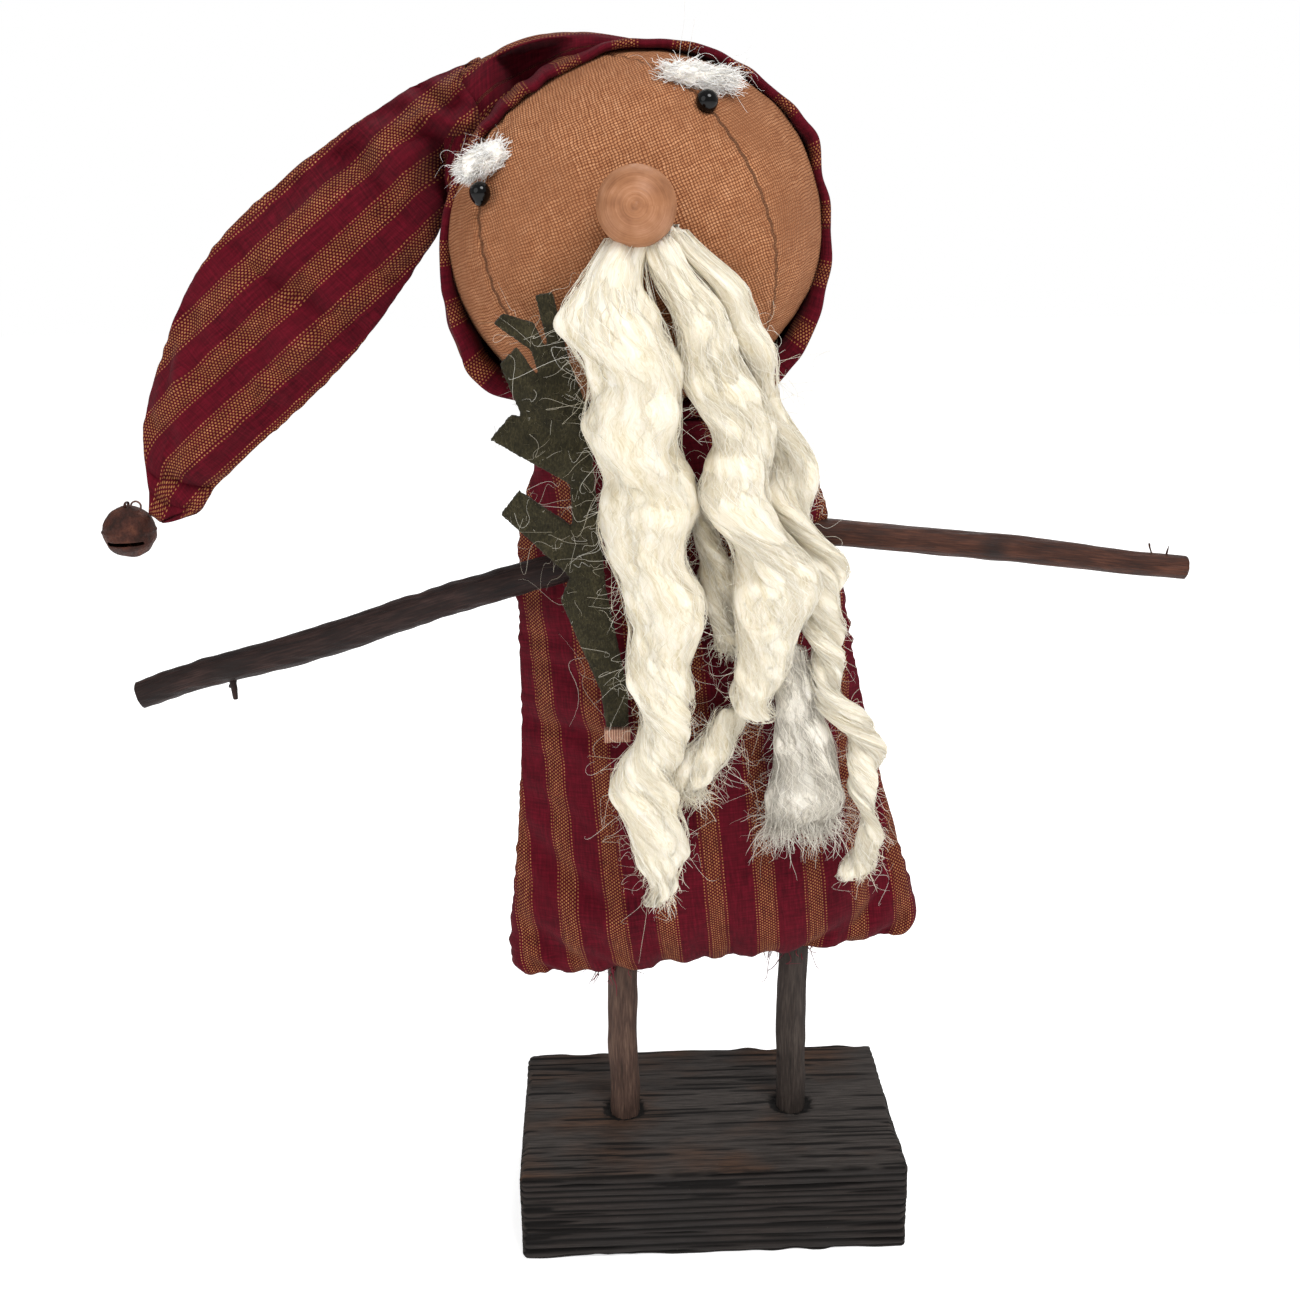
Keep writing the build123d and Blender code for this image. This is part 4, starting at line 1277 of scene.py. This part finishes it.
EVEN = ((0, 1), (1, 1))
FULL = ((0, 1), (0.3, 1.12), (1, 1.12))
WIDE_TOP = ((0, 1.15), (0.1, 1.35), (0.35, 1.3), (0.55, 1.05), (1, 1))
# plies, (share down, turns) pairs, phase, spread, how plump down its length, its crimp (sway, swell, pitch),
# lying hairs, strays, tip hairs, tip length, tip flare
LOCKS = {
    "main": (
        3, [(0, 0), (0.5, 0.1), (0.66, 0.25), (0.8, 0.85), (1, 1.1)], 0.4, 0.25, EVEN, (2.0, 0.07, 41.0),
        1500, 600, 200, 9.0, 0.15,
    ),
    "centre": (
        2, [(0, 0), (0.4, 0.15), (0.75, 0.5), (1, 0.8)], 2.9, 0.24, FULL, (2.8, 0.10, 44.0),
        1100, 380, 120, 5.0, 0.15,
    ),
    "outer": (
        2, [(0, 0), (0.35, 0.3), (0.55, 1.2), (1, 4.4)], 1.0, 0.34, WIDE_TOP, (2.0, 0.09, 34.0),
        1100, 360, 200, 8.0, 0.5,
    ),
    "inner": (2, [(0, 0), (1, 0.9)], 0.0, 0.25, EVEN, (1.0, 0.08, 25.0), 260, 220, 90, 8.0, 0.3),
    "cross": (2, [(0, 0), (1, 0.5)], 0.5, 0.28, EVEN, (0.0, 0.05, 20.0), 320, 160, 300, 9.0, 0.7),
    "frayed": (2, [(0, 0), (1, 0.3)], 0.2, 0.25, EVEN, (0.0, 0.05, 30.0), 900, 260, 620, 14.0, 0.35),
}


def beard():
    cream = wool("beard_wool", "#cfc2a2", "#e6ddc8", "#f2ecdf")
    grey = wool("frayed_wool", "#aaa397", "#d9d3c6", "#efeadf")
    cream_hair = fibre_wool("beard_fibre", "#d9ceb4", "#f8f4e9")
    grey_hair = fibre_wool("frayed_fibre", "#aaa296", "#f1ece0")
    hinge = next(j for j in frame["joints"] if j["name"] == "beard_lift")["pos_m"]
    start, end = tuple(hinge), (*hinge[:2], hinge[2] - HINGE_FADE * MM)
    for seed, (name, look) in enumerate(LOCKS.items()):
        node = f"beard_{name}_lock"
        *shape, lying, strays, tips, tip_long, flare = look
        lock = Lock(node, *shape, 80 + 7 * seed)
        rng = np.random.default_rng(200 + seed)
        roving, fibres = (grey, grey_hair) if name == "frayed" else (cream, cream_hair)
        points, faces, fibre, hollow = joined([lock.core(ply) for ply in range(lock.plies)])
        core = add_piece(
            f"beard_{name}_roving", points, faces, roving, None, "cream_wool", [node],
            fibre=fibre, hollow=hollow,
        )
        made = joined([
            lock.hairs(lying, rng, 0.1), lock.strays(strays, rng, 12.0, 0.055),
            lock.tip(tips, rng, tip_long, flare, 0.11),
        ])
        for piece in (core, add_fibres(f"beard_{name}_fibres", made, fibres, None, "cream_wool")):
            if node in ROOTED:
                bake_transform(piece)
            else:
                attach(piece, "beard")


# ------------------------------------------------------------------ sprig, band, bell


def recast(node, voxel):
    """A CAD solid's own shape as an even mesh that can be worn and roughened."""
    corners, triangles = cad_mesh(node)
    cage = add_piece("recast", corners, [triangles], None)
    return baked(cage, "REMESH", mode="VOXEL", voxel_size=voxel * MM)[:2]


def felt_sprig():
    points, faces = recast("felt_sprig", 0.55)
    low = points[:, 2].min()
    loose = smooth_step(25, 130, points[:, 2] - low)
    points[:, 1] += loose * (1.6 * waves(points, 34.0, 90) + 0.8 * waves(points, 15.0, 91)) - 0.6 * loose
    matted = 0.16 * waves(points, 1.7, 92, count=30) + 0.08 * waves(points, 0.8, 93)
    points = roughened(points, faces, matted)
    add_piece("felt_sprig_cut", points, faces, felt(), "figure", "olive_felt", ["felt_sprig"])
    rng = np.random.default_rng(94)
    count = 900
    picked = points[rng.integers(0, len(points), count)]
    way = unit(rng.normal(size=(count, 3)) + (0, -0.4, 0))
    nap = hair(curls(picked, way, rng.uniform(0.8, 3.0, count), 5, 0.8, 95), 0.05)
    add_fibres("felt_nap", nap, fibre_wool("felt_fibre", "#2c281b", "#6d6549"), "figure", "olive_felt")
    depth = points[:, 1]
    front = points[depth < np.interp(points[:, 2], [low, low + 160], [depth.max(), depth.min() + 2.0])]
    count = 90
    picked = front[rng.integers(0, len(front), count)] - (0, 0.4, 0)
    way = unit(rng.normal(size=(count, 3)) * (1, 0.15, 1))
    lint = hair(curls(picked, way, rng.uniform(5, 17, count), 16, 1.1, 96), 0.045)
    add_fibres("sprig_lint", lint, fibre_wool("lint_fibre", "#b9b09c", "#f4efe2"), "figure", "cream_wool")


def sprig_band():
    points, faces = recast("sprig_band", 0.3)
    ribs = 0.10 * np.sin(points[:, 0] * TAU / RIB_PITCH)
    points = roughened(points, faces, ribs + 0.15 * waves(points, 3.0, 97))
    add_piece("woven_band", points, faces, woven_tape(), "figure", "copper_band", ["sprig_band"])


TIGHT_STITCH = (3.6, -1.0, -5.0)      # the thread is drawn up against the cap's tip
SUNK_STAPLE = 0.45                    # the staple is bent down to the bell
THREAD_PLIES, THREAD_TWISTS = 3, 14
SHELL_INSIDE = 9.0                    # the shell's inner face is nearer to its middle than this


def bell():
    rust = rusted_tin()
    middle, _ = box("bell_shell")
    # voxel, depth of the dents, height of the seam, how near to the middle it stays smooth
    looks = {"shell": ("bell", 0.3, 0.22, 0.35, SHELL_INSIDE), "pellet": ("pellet", 0.2, 0.05, 0.0, 0.0)}
    for part, (body, voxel, dent, rise, inside) in looks.items():
        points, faces = recast(f"bell_{part}", voxel)
        seam = rise * hump(points[:, 2], middle[2] + 0.4, 0.5)
        wear = dent * waves(points, 6.0, 98) + 0.04 * waves(points, 1.1, 99) + seam
        points = roughened(points, faces, wear * (np.linalg.norm(points - middle, axis=1) > inside))
        add_piece(f"rusted_bell_{part}", points, faces, rust, body, "rusty_tin", [f"bell_{part}"])
    points, faces = recast("bell_staple", 0.14)
    foot = np.array([points[:, 0].mean(), points[:, 1].mean(), points[:, 2].min()])
    points = foot + (points - foot) * (1, 1, SUNK_STAPLE)
    add_piece("rusted_staple", points, faces, rust, "bell", "rusty_tin", ["bell_staple"])
    middle, half = box("bell_thread")
    t = np.linspace(0, TAU, 90)
    twist = THREAD_TWISTS * t + circle(THREAD_PLIES)[:, None]
    size = 0.55 * half[0] + 0.2 * np.cos(twist)
    strands = np.stack([size * np.cos(t), 0.2 * np.sin(twist), size * np.sin(t)], -1) + middle + TIGHT_STITCH
    made = hair(strands, 0.24, tips=1.0)
    add_fibres("twisted_bell_thread", made, twisted_thread(), "tail", "thread", ["bell_thread"])


LEG_THREADS = 26


def frayed_hem(origin, axis, side):
    """Threads where each leg comes out of the body."""
    rng = np.random.default_rng(110)
    starts, ways = [], []
    for node in ("right_leg_stick", "left_leg_stick"):
        leg, size = box(node)
        across = (leg - origin) @ side
        for _ in range(LEG_THREADS):
            turn = rng.uniform(0, TAU)
            spot = side * (across + math.cos(turn) * (size[0] + 1.0)) + BACK * math.sin(turn) * size[0] * 0.6
            starts.append(origin + spot + axis * rng.uniform(1.0, 4.0))
            ways.append([math.cos(turn) * 0.6, -0.5 + 0.4 * math.sin(turn), -1.0])
    starts, count = np.array(starts), len(starts)
    ways = unit(np.array(ways) + rng.normal(size=(count, 3)) * 0.3)
    made = hair(curls(starts, ways, rng.uniform(4, 9, count), 10, 0.7, 111), rng.uniform(0.12, 0.3, count))
    finish = fibre_wool("hem_fibre", "#3f0c18", "#8c2638")
    add_fibres("frayed_hem_threads", made, finish, "figure", "striped_cloth")


def hidden_dowel():
    f = Finish("dowel_wood", Specular_IOR_Level=0.3)
    grain = f.noise(f.stretch(f.place(), 1.0, 1.0, 0.06), 0.8)
    colour, gloss = f.ramp(grain, (0.3, "#a88a63"), (0.7, "#cdb48c")), f.ramp(grain, (0, 0.6), (1, 0.8))
    materials = frame["nodes"]["neck_dowel"].data.materials
    materials.clear()
    materials.append(f.made(colour, gloss, f.bump(grain, 0.1)))


base_block()
leg_sticks()
arm_twigs()
body_lines = stuffed_body()
tail_lines = cap_tail()
head_parts = head_shape()
gored_head(*head_parts)
cap_crown(*head_parts)
cap_fold(*head_parts, *tail_lines)
nose()
eyes()
brows()
beard()
felt_sprig()
sprig_band()
bell()
frayed_hem(*body_lines)
hidden_dowel()

# ------------------------------------------------------------------ camera, light and floor

CAMERA_PLACE = (-0.0376, -0.5441, 0.4063)
CAMERA_PITCH = math.radians(17.23)     # down
CAMERA_YAW = math.radians(-1.77)
CAMERA_ROLL = math.radians(-0.85)
CAMERA_LENS = 41.84                    # for the standard 36 mm sensor
AMBIENT = 0.46
FLOOR_SIZE = 4000.0
WHITE = (1.0, 1.0, 1.0, 1.0)


def add_camera():
    level = np.array([math.cos(CAMERA_YAW), math.sin(CAMERA_YAW), 0.0])
    heading = np.cross(UP, level) * math.cos(CAMERA_PITCH) - UP * math.sin(CAMERA_PITCH)
    above = np.cross(level, heading)
    cos, sin = math.cos(CAMERA_ROLL), math.sin(CAMERA_ROLL)
    data = bpy.data.cameras.new("camera")
    data.lens, data.clip_start, data.clip_end = CAMERA_LENS, 0.01, 20.0
    camera = bpy.data.objects.new("camera", data)
    axes = [cos * level + sin * above, cos * above - sin * level, -heading]
    placed = Matrix(np.stack(axes, 1).tolist()).to_4x4()
    placed.translation = CAMERA_PLACE
    camera.matrix_world = placed
    bpy.context.scene.collection.objects.link(camera)
    bpy.context.scene.camera = camera


def add_lamp(name, place, target, size, watts):
    data = bpy.data.lights.new(name, "AREA")
    data.shape, data.size, data.energy = "DISK", size, watts
    lamp = bpy.data.objects.new(name, data)
    lamp.location = place
    lamp.rotation_mode = "QUATERNION"
    lamp.rotation_quaternion = (Vector(target) - Vector(place)).to_track_quat("-Z", "Y")
    bpy.context.scene.collection.objects.link(lamp)


def add_floor():
    f = Finish("pale_floor", Roughness=0.9, Specular_IOR_Level=0.1, Emission_Strength=0.62)
    f.shader.inputs["Emission Color"].default_value = WHITE
    finish = f.made(f.ramp(f.noise(f.place(), 40.0), (0.3, 0.80), (0.7, 0.84)))
    points = np.array([[-1, -1, 0], [1, -1, 0], [1, 1, 0], [-1, 1, 0]]) * FLOOR_SIZE
    floor = add_piece("floor", points - (0, 0, 0.02), [np.array([[0, 1, 2, 3]])], finish)


def add_world():
    """An even white studio: full white behind the figure, a little dimmer as light."""
    world = bpy.data.worlds.new("studio")
    world.use_nodes = True
    nodes, links = world.node_tree.nodes, world.node_tree.links
    seen = nodes.new("ShaderNodeLightPath").outputs["Is Camera Ray"]
    level = nodes.new("ShaderNodeMapRange")
    links.new(seen, level.inputs["Value"])
    level.inputs["To Min"].default_value = AMBIENT
    level.inputs["To Max"].default_value = 1.0
    nodes["Background"].inputs[0].default_value = WHITE
    links.new(level.outputs[0], nodes["Background"].inputs[1])
    bpy.context.scene.world = world


add_camera()
add_world()
add_floor()
add_lamp("key", (0.5, -0.95, 1.6), (-0.01, 0.0, 0.25), 0.8, 20)
add_lamp("fill", (-1.0, -1.0, 0.9), (0.0, 0.0, 0.25), 1.2, 6)
add_lamp("rim", (0.3, 1.2, 1.2), (0.0, 0.0, 0.3), 1.0, 8)
bpy.context.scene.view_settings.view_transform = "Standard"
